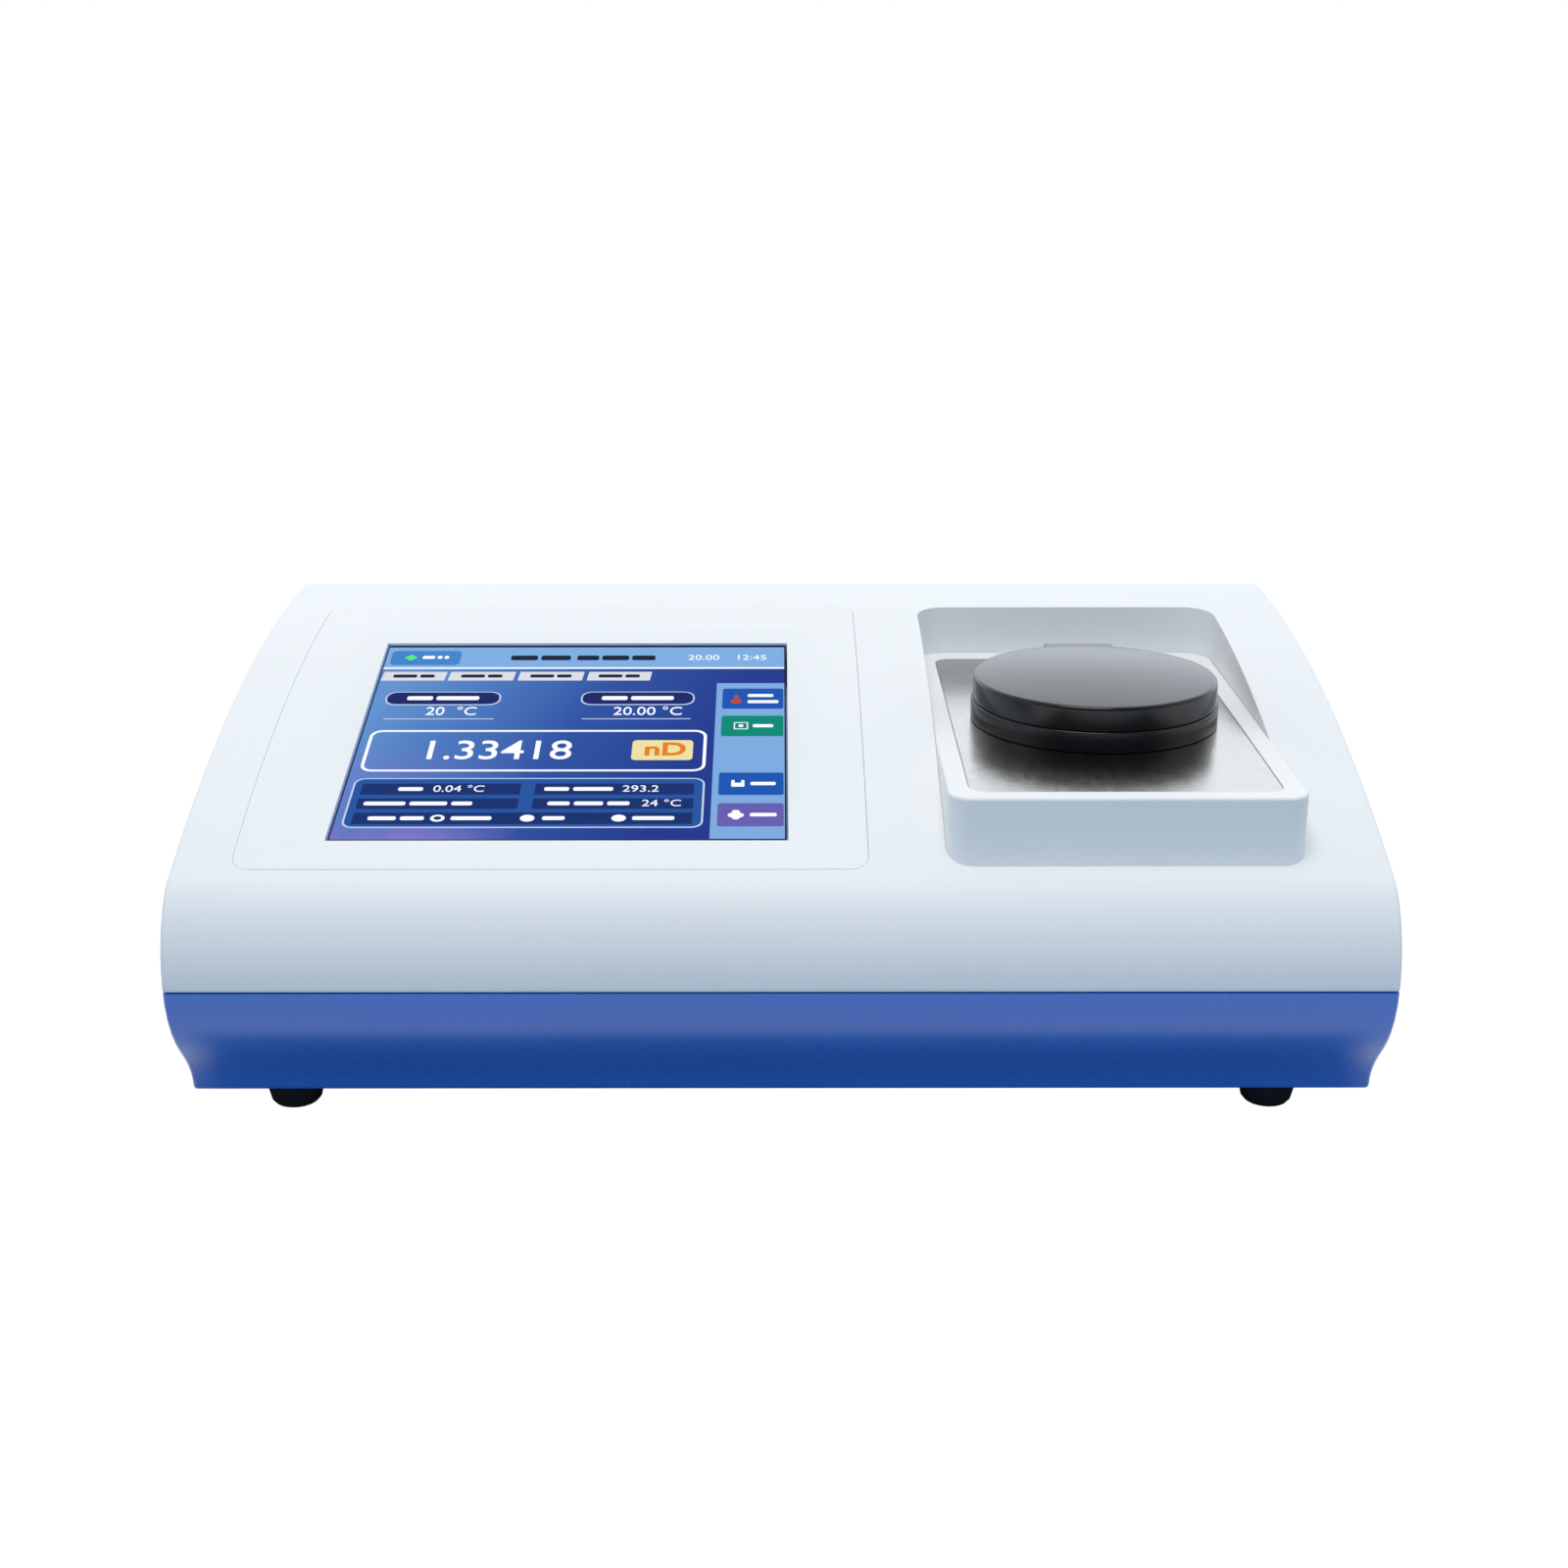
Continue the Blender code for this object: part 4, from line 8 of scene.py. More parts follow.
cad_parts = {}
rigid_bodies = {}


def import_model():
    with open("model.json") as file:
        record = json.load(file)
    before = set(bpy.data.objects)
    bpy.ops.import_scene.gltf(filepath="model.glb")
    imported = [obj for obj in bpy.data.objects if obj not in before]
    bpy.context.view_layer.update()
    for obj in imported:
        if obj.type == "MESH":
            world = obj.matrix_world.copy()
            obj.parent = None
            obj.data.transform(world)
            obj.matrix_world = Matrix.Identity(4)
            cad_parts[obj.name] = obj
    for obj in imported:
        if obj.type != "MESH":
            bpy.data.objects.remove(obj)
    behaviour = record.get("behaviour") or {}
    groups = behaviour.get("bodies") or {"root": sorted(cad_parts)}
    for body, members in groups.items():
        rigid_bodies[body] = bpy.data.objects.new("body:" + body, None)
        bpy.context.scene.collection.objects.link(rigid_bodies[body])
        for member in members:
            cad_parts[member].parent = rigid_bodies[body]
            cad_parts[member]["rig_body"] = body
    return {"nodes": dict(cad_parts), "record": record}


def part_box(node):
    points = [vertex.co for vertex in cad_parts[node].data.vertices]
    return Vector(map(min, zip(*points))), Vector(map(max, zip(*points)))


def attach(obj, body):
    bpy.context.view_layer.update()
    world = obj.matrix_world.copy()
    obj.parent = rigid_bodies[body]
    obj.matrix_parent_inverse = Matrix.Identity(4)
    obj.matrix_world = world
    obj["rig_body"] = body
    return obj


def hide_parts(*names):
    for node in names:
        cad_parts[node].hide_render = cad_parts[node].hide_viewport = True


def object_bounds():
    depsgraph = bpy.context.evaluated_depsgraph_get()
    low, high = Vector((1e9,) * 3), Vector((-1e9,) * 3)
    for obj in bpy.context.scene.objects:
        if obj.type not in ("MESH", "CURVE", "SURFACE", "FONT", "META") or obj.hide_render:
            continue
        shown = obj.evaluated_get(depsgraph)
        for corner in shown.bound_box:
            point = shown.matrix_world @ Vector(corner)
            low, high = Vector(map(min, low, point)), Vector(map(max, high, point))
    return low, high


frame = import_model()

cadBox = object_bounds()
mm = 0.001
scene = bpy.context.scene

# Camera, as the photograph was taken
cameraLook = {
    "place": (-0.0006, -0.8105, 0.3540),
    "pitchDown": 18.0,
    "turnRight": 0.12,
    "lens": 50.0,
    "film": 36.0,
}

# Soft studio light: a pale sky, weaker in front, a wide lamp overhead and a white floor.
# A span is where a blend starts and ends, along Y for the sky and in metres for the painted shadow
# round the object's foot
studioLook = {
    "skyColour": (0.64, 0.685, 0.73),
    "frontSkyColour": (0.44, 0.57, 0.72),
    "frontSkySpan": (-0.8, 0.2),
    "backdropColour": (1.48, 1.60, 1.71),
    "dimLevel": 0.07,
    "dimSpan": (-0.75, -0.15),
    "sideLevel": 0.50,
    "backdropSpan": (0.3, 0.8),
    "lampPlace": (-0.05, -0.35, 1.70),
    "lampAim": (0.0, 0.0, 0.08),
    "lampSize": 0.75,
    "lampPower": 10.65,
    "lampColour": (1.0, 0.925, 0.800),
    "floorSize": 40.0,
    "floorColour": (0.33, 0.40, 0.49),
    "floorRoughness": 0.9,
    "floorWhite": 1.20,
    "floorWhiteShare": 0.84,
    "floorGlossShare": 0.95,
    # Where the painted shadow of the object on the floor, seen in gloss, fades out
    "paintedShadowSpan": (-0.008, 0.013),
}


def makeCamera():
    data = bpy.data.cameras.new("photoCamera")
    data.lens = cameraLook["lens"]
    data.sensor_width = cameraLook["film"]
    camera = bpy.data.objects.new("photoCamera", data)
    scene.collection.objects.link(camera)
    camera.location = cameraLook["place"]
    tilt = math.radians(90 - cameraLook["pitchDown"])
    camera.rotation_euler = (tilt, 0, -math.radians(cameraLook["turnRight"]))
    scene.camera = camera


# Shader maths: a socket that can be added, multiplied and so on


class Wire:
    def __init__(self, tree, socket=None):
        self.tree = tree
        self.socket = socket

    def node(self, kind, settings=None, plugs=None, out=0):
        made = self.tree.nodes.new(kind)
        for name, value in (settings or {}).items():
            if name == "stops":
                ramp = made.color_ramp
                while len(ramp.elements) < len(value):
                    ramp.elements.new(0.5)
                for element, (place, colour) in zip(ramp.elements, value):
                    element.position = place
                    element.color = colour4(colour)
            else:
                setattr(made, name, value)
        for key, value in (plugs or {}).items():
            if isinstance(value, Wire):
                self.tree.links.new(value.socket, made.inputs[key])
            else:
                made.inputs[key].default_value = value
        return Wire(self.tree, made.outputs[out])

    def maths(self, operation, *values):
        return self.node("ShaderNodeMath", {"operation": operation}, dict(enumerate(values)))

    def __add__(self, other):
        return self.maths("ADD", self, other)

    def __radd__(self, other):
        return self.maths("ADD", other, self)

    def __sub__(self, other):
        return self.maths("SUBTRACT", self, other)

    def __rsub__(self, other):
        return self.maths("SUBTRACT", other, self)

    def __mul__(self, other):
        return self.maths("MULTIPLY", self, other)

    def __rmul__(self, other):
        return self.maths("MULTIPLY", other, self)

    def __truediv__(self, other):
        return self.maths("DIVIDE", self, other)

    def __rtruediv__(self, other):
        return self.maths("DIVIDE", other, self)

    def __abs__(self):
        return self.maths("ABSOLUTE", self)

    def clamped(self):
        return self.node("ShaderNodeClamp", None, {0: self})

    def smooth(self, span):
        settings = {"interpolation_type": "SMOOTHSTEP"}
        return self.node("ShaderNodeMapRange", settings, {0: self, 1: span[0], 2: span[1]})

    def spot(self, source="Object"):
        return self.node("ShaderNodeTexCoord", None, None, source)

    def axis(self, letter, source="Object"):
        return self.node("ShaderNodeSeparateXYZ", None, {0: self.spot(source)}, letter)

    def place(self, stretch=(1, 1, 1)):
        plugs = {"Vector": self.spot(), "Scale": stretch}
        return self.node("ShaderNodeMapping", None, plugs)

    def noise(self, scale, detail=2.0, rough=0.5, stretch=(1, 1, 1)):
        plugs = {
            "Vector": self.place(stretch), "Scale": scale, "Detail": detail, "Roughness": rough,
        }
        return self.node("ShaderNodeTexNoise", None, plugs)

    def blend(self, share, first, second):
        plugs = {0: share, 6: first, 7: second}
        return self.node("ShaderNodeMix", {"data_type": "RGBA"}, plugs, 2)

    def ray(self, kind):
        return self.node("ShaderNodeLightPath", None, None, f"Is {kind} Ray")


def colour4(colour):
    return (*colour, 1.0)


def shade(colour, level):
    return (*(part * level for part in colour), 1.0)


def newFinish(name, **fixed):
    made = bpy.data.materials.new(name)
    made.use_nodes = True
    shader = made.node_tree.nodes["Principled BSDF"]
    for key, value in fixed.items():
        shader.inputs[key.replace("_", " ")].default_value = value
    return made, Wire(made.node_tree), shader


def plug(wire, shader, name):
    wire.tree.links.new(wire.socket, shader.inputs[name])


def bumpOf(wire, height, strength, distance):
    plugs = {"Strength": strength, "Distance": distance, "Height": height}
    return wire.node("ShaderNodeBump", None, plugs)


def seenRays(wire, inGloss=1.0):
    # 1 for what the camera sees, another share for gloss and glass, and 0 for plain light
    straight, gloss, through = (wire.ray(kind) for kind in ("Camera", "Glossy", "Transmission"))
    return wire.maths("MAXIMUM", straight, wire.maths("MAXIMUM", gloss, through) * inGloss)


def makeSky():
    world = bpy.data.worlds.new("studio")
    scene.world = world
    world.use_nodes = True
    tree = world.node_tree
    wire = Wire(tree)
    backward = wire.axis("Y", "Generated")
    front, sky, backdrop = (
        colour4(studioLook[name]) for name in ("frontSkyColour", "skyColour", "backdropColour")
    )
    # Plain light is a little weaker from the front, where the room is dim in gloss
    light = wire.blend(backward.smooth(studioLook["frontSkySpan"]), front, sky)
    dim, aside = (shade(backdrop[:3], studioLook[name]) for name in ("dimLevel", "sideLevel"))
    gloss = wire.blend(backward.smooth(studioLook["dimSpan"]), dim, aside)
    gloss = wire.blend(backward.smooth(studioLook["backdropSpan"]), gloss, backdrop)
    seen = wire.blend(wire.ray("Camera"), gloss, colour4((1, 1, 1)))
    background = tree.nodes["Background"]
    background.inputs["Strength"].default_value = 1.0
    tree.links.new(wire.blend(seenRays(wire), light, seen).socket, background.inputs["Color"])


def makeLamp():
    data = bpy.data.lights.new("overheadPanel", "AREA")
    data.size = studioLook["lampSize"]
    data.energy = studioLook["lampPower"]
    data.color = studioLook["lampColour"]
    lamp = bpy.data.objects.new("overheadPanel", data)
    scene.collection.objects.link(lamp)
    place = Vector(studioLook["lampPlace"])
    lamp.location = place
    turn = (Vector(studioLook["lampAim"]) - place).to_track_quat("-Z", "Y")
    lamp.rotation_euler = turn.to_euler()


def makeFloor():
    bm = bmesh.new()
    bmesh.ops.create_grid(bm, x_segments=1, y_segments=1, size=studioLook["floorSize"] / 2)
    mesh = bpy.data.meshes.new("studioFloor")
    bm.to_mesh(mesh)
    bm.free()
    floor = bpy.data.objects.new("studioFloor", mesh)
    scene.collection.objects.link(floor)
    made, wire, shader = newFinish(
        "studioFloor", Base_Color=colour4(studioLook["floorColour"]),
        Roughness=studioLook["floorRoughness"], Specular_IOR_Level=0.0,
    )
    tree = made.node_tree
    white = tree.nodes.new("ShaderNodeEmission")
    white.inputs["Strength"].default_value = studioLook["floorWhite"]
    mixed = tree.nodes.new("ShaderNodeMixShader")
    # Painted shadow: in gloss, the floor's white is dimmed close to the object, which stands over
    # it
    half = (cadBox[1] - cadBox[0]) / 2
    apart = wire.maths("MAXIMUM", abs(wire.axis("X")) - half.x, abs(wire.axis("Y")) - half.y)
    whiteShare = studioLook["floorWhiteShare"]
    glossShare = apart.smooth(studioLook["paintedShadowSpan"]) * (studioLook["floorGlossShare"] / whiteShare)
    share = seenRays(wire, glossShare) * whiteShare
    tree.links.new(share.socket, mixed.inputs[0])
    tree.links.new(shader.outputs[0], mixed.inputs[1])
    tree.links.new(white.outputs[0], mixed.inputs[2])
    tree.links.new(mixed.outputs[0], tree.nodes["Material Output"].inputs["Surface"])
    mesh.materials.append(made)


makeCamera()
makeSky()
makeLamp()
makeFloor()
scene.view_settings.view_transform = "Standard"
print("camera and studio are set up")


# Finishes: what the finishes of one kind share, then each finish's own values
plasticGrain = {"cloudDetail": 3.0, "cloudSpan": (0.3, 0.7), "grainDetail": 2.0, "grainRough": 0.6}
metalGrain = {
    "streakDetail": 4.0, "streakRough": 0.65, "streakShare": 0.55, "streakSpan": (0.35, 0.65),
    "speckDetail": 2.0, "speckRough": 0.7, "cloudDetail": 2.0, "cloudSpan": (0.35, 0.75),
}


def mouldedPlastic(name, look):
    made, wire, shader = newFinish(name, Specular_IOR_Level=look["gloss"], IOR=look["index"])
    cloud = wire.noise(look["cloudScale"], plasticGrain["cloudDetail"])
    grain = wire.noise(look["grainScale"], plasticGrain["grainDetail"], plasticGrain["grainRough"])
    dark, full = shade(look["colour"], look["darker"]), colour4(look["colour"])
    plug(wire.blend(cloud.smooth(plasticGrain["cloudSpan"]), dark, full), shader, "Base Color")
    plug(grain * look["roughSpread"] + look["roughness"], shader, "Roughness")
    plug(bumpOf(wire, grain, look["bump"], look["grainDepth"]), shader, "Normal")
    return made


def brushedMetal(name, look):
    made, wire, shader = newFinish(name, Metallic=1.0)
    streaks = wire.noise(
        look["streakScale"], metalGrain["streakDetail"], metalGrain["streakRough"], look["stretch"]
    )
    specks = wire.noise(look["speckScale"], metalGrain["speckDetail"], metalGrain["speckRough"])
    cloud = wire.noise(look["cloudScale"], metalGrain["cloudDetail"])
    streakShare = metalGrain["streakShare"]
    brushed = (streaks * streakShare + specks * (1 - streakShare)).smooth(metalGrain["streakSpan"])
    dark, full = shade(look["colour"], look["darker"]), colour4(look["colour"])
    stain = shade(look["colour"], look["cloudShade"])
    tone = wire.blend(brushed, dark, full)
    plug(wire.blend(cloud.smooth(metalGrain["cloudSpan"]), tone, stain), shader, "Base Color")
    plug(streaks * look["roughSpread"] + look["roughness"], shader, "Roughness")
    plug(bumpOf(wire, streaks + specks, look["bump"], look["grainDepth"]), shader, "Normal")
    return made


def clearGlass(name, look):
    made, wire, shader = newFinish(
        name, Transmission_Weight=look["clear"], IOR=look["index"],
        Base_Color=colour4(look["colour"]),
    )
    smears = wire.noise(look["smearScale"], look["smearDetail"])
    plug(smears * look["roughSpread"] + look["roughness"], shader, "Roughness")
    return made


def circuitBoard(name, look):
    made, wire, shader = newFinish(name, Specular_IOR_Level=look["gloss"])
    plugs = {"Vector": wire.place(), "Scale": look["traceScale"]}
    cells = wire.node("ShaderNodeTexVoronoi", {"distance": "CHEBYCHEV"}, plugs)
    traces = wire.maths("FRACT", cells * look["traceCount"]).smooth(look["traceSpan"])
    tone = wire.blend(traces, colour4(look["colour"]), colour4(look["traceColour"]))
    plug(tone, shader, "Base Color")
    plug(traces * look["roughSpread"] + look["roughness"], shader, "Roughness")
    return made


whitePlasticLook = {
    "colour": (0.893, 0.902, 0.908), "darker": 0.985, "gloss": 0.10, "index": 1.46,
    "cloudScale": 9.0, "grainScale": 1400.0, "roughness": 0.36, "roughSpread": 0.10,
    "bump": 0.10, "grainDepth": 0.0002,
}
bluePaintLook = {
    "colour": (0.026, 0.175, 0.680), "darker": 0.95, "gloss": 0.5, "index": 1.64,
    "cloudScale": 12.0, "grainScale": 1600.0, "roughness": 0.24, "roughSpread": 0.08,
    "bump": 0.12, "grainDepth": 0.0002,
}
blackPlasticLook = {
    "colour": (0.003, 0.004, 0.006), "darker": 0.75, "gloss": 0.5, "index": 1.46,
    "cloudScale": 30.0, "grainScale": 1800.0, "roughness": 0.16, "roughSpread": 0.08,
    "bump": 0.05, "grainDepth": 0.0002,
}
blackRubberLook = {
    "colour": (0.016, 0.017, 0.019), "darker": 0.6, "gloss": 0.2, "index": 1.46,
    "cloudScale": 60.0, "grainScale": 900.0, "roughness": 0.75, "roughSpread": 0.2,
    "bump": 0.35, "grainDepth": 0.0003,
}
greyPaintLook = {
    "colour": (0.45, 0.47, 0.50), "darker": 0.93, "gloss": 0.4, "index": 1.46,
    "cloudScale": 20.0, "grainScale": 700.0, "roughness": 0.45, "roughSpread": 0.15,
    "bump": 0.45, "grainDepth": 0.0004,
}
ceramicLook = {
    "colour": (0.85, 0.85, 0.83), "darker": 0.94, "gloss": 0.3, "index": 1.46,
    "cloudScale": 60.0, "grainScale": 1200.0, "roughness": 0.6, "roughSpread": 0.15,
    "bump": 0.2, "grainDepth": 0.0003,
}
brushedSteelLook = {
    "colour": (0.495, 0.466, 0.436), "darker": 0.82, "cloudShade": 0.93,
    "streakScale": 60.0, "stretch": (6.0, 2.0, 2.0), "speckScale": 900.0, "cloudScale": 12.0,
    "roughness": 0.145, "roughSpread": 0.10, "bump": 0.17, "grainDepth": 0.0002,
}
brightSteelLook = {
    "colour": (0.66, 0.66, 0.66), "darker": 0.88, "cloudShade": 0.93,
    "streakScale": 30.0, "stretch": (1.0, 1.0, 8.0), "speckScale": 1200.0, "cloudScale": 25.0,
    "roughness": 0.20, "roughSpread": 0.12, "bump": 0.06, "grainDepth": 0.0001,
}
aluminiumLook = {
    "colour": (0.72, 0.73, 0.74), "darker": 0.88, "cloudShade": 0.94,
    "streakScale": 40.0, "stretch": (1.0, 14.0, 1.0), "speckScale": 1100.0, "cloudScale": 25.0,
    "roughness": 0.34, "roughSpread": 0.14, "bump": 0.10, "grainDepth": 0.0002,
}
clearGlassLook = {
    "colour": (0.93, 0.97, 0.98), "clear": 1.0, "index": 1.62,
    "smearScale": 40.0, "smearDetail": 3.0, "roughness": 0.02, "roughSpread": 0.05,
}
boardLook = {
    "colour": (0.015, 0.115, 0.050), "traceColour": (0.030, 0.185, 0.080), "gloss": 0.5,
    "traceScale": 55.0, "traceCount": 7.0, "traceSpan": (0.42, 0.5),
    "roughness": 0.38, "roughSpread": 0.15,
}

finishes = {
    "white_plastic": mouldedPlastic("whitePlastic", whitePlasticLook),
    "blue_paint": mouldedPlastic("bluePaint", bluePaintLook),
    "black_plastic": mouldedPlastic("blackPlastic", blackPlasticLook),
    "black_rubber": mouldedPlastic("blackRubber", blackRubberLook),
    "brushed_steel": brushedMetal("brushedSteel", brushedSteelLook),
    "bright_steel": brushedMetal("brightSteel", brightSteelLook),
    "aluminium": brushedMetal("aluminium", aluminiumLook),
    "grey_paint": mouldedPlastic("greyPaint", greyPaintLook),
    "screen_glass": mouldedPlastic("screenEdge", blackPlasticLook),
    "clear_glass": clearGlass("clearGlass", clearGlassLook),
    "ceramic": mouldedPlastic("ceramic", ceramicLook),
    "board_green": circuitBoard("circuitBoard", boardLook),
}

slotOf = {row["node"]: row["material_slot"] for row in frame["record"]["subparts"]}
bodyOf = {name: node["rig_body"] for name, node in frame["nodes"].items()}
for name, slot in slotOf.items():
    for place in frame["nodes"][name].material_slots:
        place.material = finishes[slot]
print("every node has its finish")


# Pieces that refine a node: a merged copy, its edges rounded and its curves shaded smooth.
# Angles are in degrees; looksUp, looksAside and steep are limits for the upward part of a normal
meshCare = {
    "merge": 0.002 * mm, "flat": 0.3, "corner": 35.0, "smooth": 50.0, "near": 1.0 * mm,
    "reach": 0.3 * mm, "looksUp": 0.85, "looksAside": 0.3, "steep": 0.6,
}


def mergedCopy(node):
    bm = bmesh.new()
    bm.from_mesh(frame["nodes"][node].data)
    bmesh.ops.remove_doubles(bm, verts=bm.verts, dist=meshCare["merge"])
    bmesh.ops.dissolve_limit(
        bm, angle_limit=math.radians(meshCare["flat"]), verts=bm.verts, edges=bm.edges
    )
    return bm


def isCorner(edge):
    angle = edge.calc_face_angle(0.0) if len(edge.link_faces) == 2 else 0.0
    return angle > math.radians(meshCare["corner"])


def roundEdges(bm, picked, width, steps):
    edges = [edge for edge in bm.edges if isCorner(edge) and picked(edge)]
    if edges:
        bmesh.ops.bevel(
            bm, geom=edges, offset=width, segments=steps, profile=0.5,
            affect="EDGES", material=-1, clamp_overlap=True, loop_slide=False,
        )


def addPiece(bm, name, body, finish, replaced, sharp, weighted=True):
    mesh = bpy.data.meshes.new(name)
    bm.to_mesh(mesh)
    bm.free()
    obj = bpy.data.objects.new(name, mesh)
    scene.collection.objects.link(obj)
    mesh.materials.append(finish)
    if "custom_normal" in mesh.attributes:
        mesh.attributes.remove(mesh.attributes["custom_normal"])
    mesh.shade_smooth()
    mesh.set_sharp_from_angle(angle=math.radians(sharp))
    if weighted:
        normals = obj.modifiers.new("evenNormals", "WEIGHTED_NORMAL")
        normals.keep_sharp = True
    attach(obj, body)
    if replaced:
        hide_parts(*replaced)


def refine(node, name, bm=None):
    slot = slotOf[node]
    bm = bm or mergedCopy(node)
    addPiece(bm, name, bodyOf[node], finishes[slot], [node], meshCare["smooth"])


def onShoulder(edge):
    # Between a face that looks up and one that looks aside
    levels = [face.normal.z for face in edge.link_faces]
    return max(levels) > meshCare["looksUp"] and abs(min(levels)) < meshCare["looksAside"]


def outward(edge):
    # On the skin of the case, not inside its wall
    return any(
        abs(face.normal.z) < meshCare["steep"] and face.normal.xy.dot(edge.verts[0].co.xy) > 0
        for face in edge.link_faces
    )


def atHeight(edge, height):
    return all(abs(vert.co.z - height) < meshCare["reach"] for vert in edge.verts)


def within(edge, box):
    # Seen from above, the edge lies in the box, or close to it
    low, high = box
    near = meshCare["near"]
    return all(
        low.x - near < vert.co.x < high.x + near and low.y - near < vert.co.y < high.y + near
        for vert in edge.verts
    )


def skinHeights(bm):
    # Heights of the corners on the left and front sides of the case
    low, near = cadBox[0], meshCare["near"]
    return [
        vert.co.z for vert in bm.verts if vert.co.x < low.x + near or vert.co.y < low.y + near
    ]


def grow(bm, node, growth):
    # A joint that is hardly seen: the piece's outline is a little fuller than the node's
    low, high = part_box(node)
    middle = (low + high) / 2
    half = (high - low) / 2
    for vert in bm.verts:
        offset = vert.co - middle
        vert.co.x += growth * offset.x / half.x
        vert.co.y += growth * offset.y / half.y


# Case and tray, their edges rounded as moulded ones are
caseLook = {
    "seamRound": 0.45 * mm, "seamSteps": 2,
    "skirtRound": 1.2 * mm, "skirtSteps": 3,
    "openingRound": 0.25 * mm, "openingSteps": 3,
    "rimOuterRound": 1.1 * mm, "rimOuterSteps": 4,
    "rimInnerRound": 0.4 * mm, "rimInnerSteps": 2,
    "bezelGrowth": 0.25 * mm, "trayGrowth": 0.32 * mm, "plateGrowth": 0.32 * mm,
}


def makeCover():
    bm = mergedCopy("top_cover")
    seam = min(skinHeights(bm))
    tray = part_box("sample_tray")
    roundEdges(
        bm, lambda edge: onShoulder(edge) and within(edge, tray),
        caseLook["openingRound"], caseLook["openingSteps"],
    )
    roundEdges(
        bm, lambda edge: atHeight(edge, seam) and outward(edge),
        caseLook["seamRound"], caseLook["seamSteps"],
    )
    refine("top_cover", "topCover", bm)


def makeBase():
    bm = mergedCopy("base_shell")
    for height, width, steps in (
        (max(skinHeights(bm)), caseLook["seamRound"], caseLook["seamSteps"]),
        (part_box("base_shell")[0].z, caseLook["skirtRound"], caseLook["skirtSteps"]),
    ):
        roundEdges(bm, lambda edge: atHeight(edge, height) and outward(edge), width, steps)
    refine("base_shell", "baseShell", bm)


def makeBezel():
    bm = mergedCopy("display_bezel")
    grow(bm, "display_bezel", caseLook["bezelGrowth"])
    refine("display_bezel", "displayBezel", bm)


def makeTray():
    bm = mergedCopy("sample_tray")
    grow(bm, "sample_tray", caseLook["trayGrowth"])
    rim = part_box("sample_tray")[1].z
    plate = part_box("stage_plate")
    roundEdges(
        bm, lambda edge: atHeight(edge, rim) and not within(edge, plate),
        caseLook["rimOuterRound"], caseLook["rimOuterSteps"],
    )
    roundEdges(
        bm, lambda edge: atHeight(edge, rim) and within(edge, plate),
        caseLook["rimInnerRound"], caseLook["rimInnerSteps"],
    )
    refine("sample_tray", "sampleTray", bm)


def makePlate():
    bm = mergedCopy("stage_plate")
    grow(bm, "stage_plate", caseLook["plateGrowth"])
    refine("stage_plate", "stagePlate", bm)


makeCover()
makeBase()
makeBezel()
makeTray()
makePlate()
refine("cover_ring", "coverRing")
refine("rear_panel", "rearPanel")
for corner in ("front_left", "front_right", "rear_left", "rear_right"):
    refine(f"foot_{corner}", f"foot_{corner}_rubber")
print("the case and the tray are refined")

# Lid: its top is a very low dome, which shades it from front to back
lidLook = {"rise": 2.2 * mm, "rings": 8, "edgeRound": 1.1 * mm, "edgeSteps": 3}


def makeLid():
    bm = mergedCopy("lid")
    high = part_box("lid")[1].z
    roundEdges(bm, lambda edge: atHeight(edge, high), lidLook["edgeRound"], lidLook["edgeSteps"])
    top = max(bm.faces, key=lambda face: face.calc_area() * face.normal.z)
    low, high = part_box("lid_gasket")
    around = Matrix.Translation(-(low + high) / 2)
    rings = lidLook["rings"]
    # The flat top goes inwards and up, ring by ring, to a small cap
    for step in range(1, rings):
        share = 1 - step / rings
        before = share + 1 / rings
        grown = bmesh.ops.extrude_face_region(bm, geom=[top])["geom"]
        inner = [item for item in grown if isinstance(item, bmesh.types.BMVert)]
        bmesh.ops.delete(bm, geom=[top], context="FACES_ONLY")
        top = next(item for item in grown if isinstance(item, bmesh.types.BMFace))
        shrink = share / before
        bmesh.ops.scale(bm, vec=(shrink, shrink, 1), space=around, verts=inner)
        climb = lidLook["rise"] * (before * before - share * share)
        bmesh.ops.translate(bm, vec=(0, 0, climb), verts=inner)
    cap = bmesh.ops.poke(bm, faces=[top])["verts"]
    bmesh.ops.translate(bm, vec=(0, 0, lidLook["rise"] / rings ** 2), verts=cap)
    refine("lid", "roundLid", bm)


makeLid()
print("the lid is made")

# Touch screen: the lit picture in place of the glass, in millimetres from its lower left corner.
# lift and stretch place the page, all but its dark border of painted shade; lettersTall is a
# numeral's own height
screenLook = {
    "layer": 0.06, "layers": 5, "thick": 0.3, "glow": 1.0, "roughness": 0.22, "roughSpread": 0.05,
    "gloss": 0.005, "inkShade": 0.95, "baseShades": (0.10, 0.14), "dotScale": 900.0,
    "dotDetail": 1.0, "smooth": 30.0, "corner": 0.8, "cornerSteps": 4, "discSteps": 20,
    "lift": 1.5, "stretch": 1.0105, "lettersTall": 0.69, "lettersThick": 0.12, "lettersSteps": 6,
}
screenInk = {
    "white": (0.90, 0.93, 1.0), "soft": (0.52, 0.62, 0.82), "dark": (0.010, 0.016, 0.045),
    "navy": (0.012, 0.020, 0.125), "row": (0.010, 0.030, 0.150), "panel": (0.020, 0.085, 0.33),
    "header": (0.200, 0.390, 0.700), "badge": (0.055, 0.21, 0.55), "column": (0.195, 0.375, 0.68),
    "tab": (0.66, 0.68, 0.72), "lamp": (0.09, 0.80, 0.17), "blue": (0.012, 0.085, 0.41),
    "green": (0.003, 0.235, 0.170), "purple": (0.125, 0.105, 0.40), "cream": (0.80, 0.69, 0.34),
    "orange": (0.72, 0.21, 0.018), "red": (0.55, 0.06, 0.02),
}


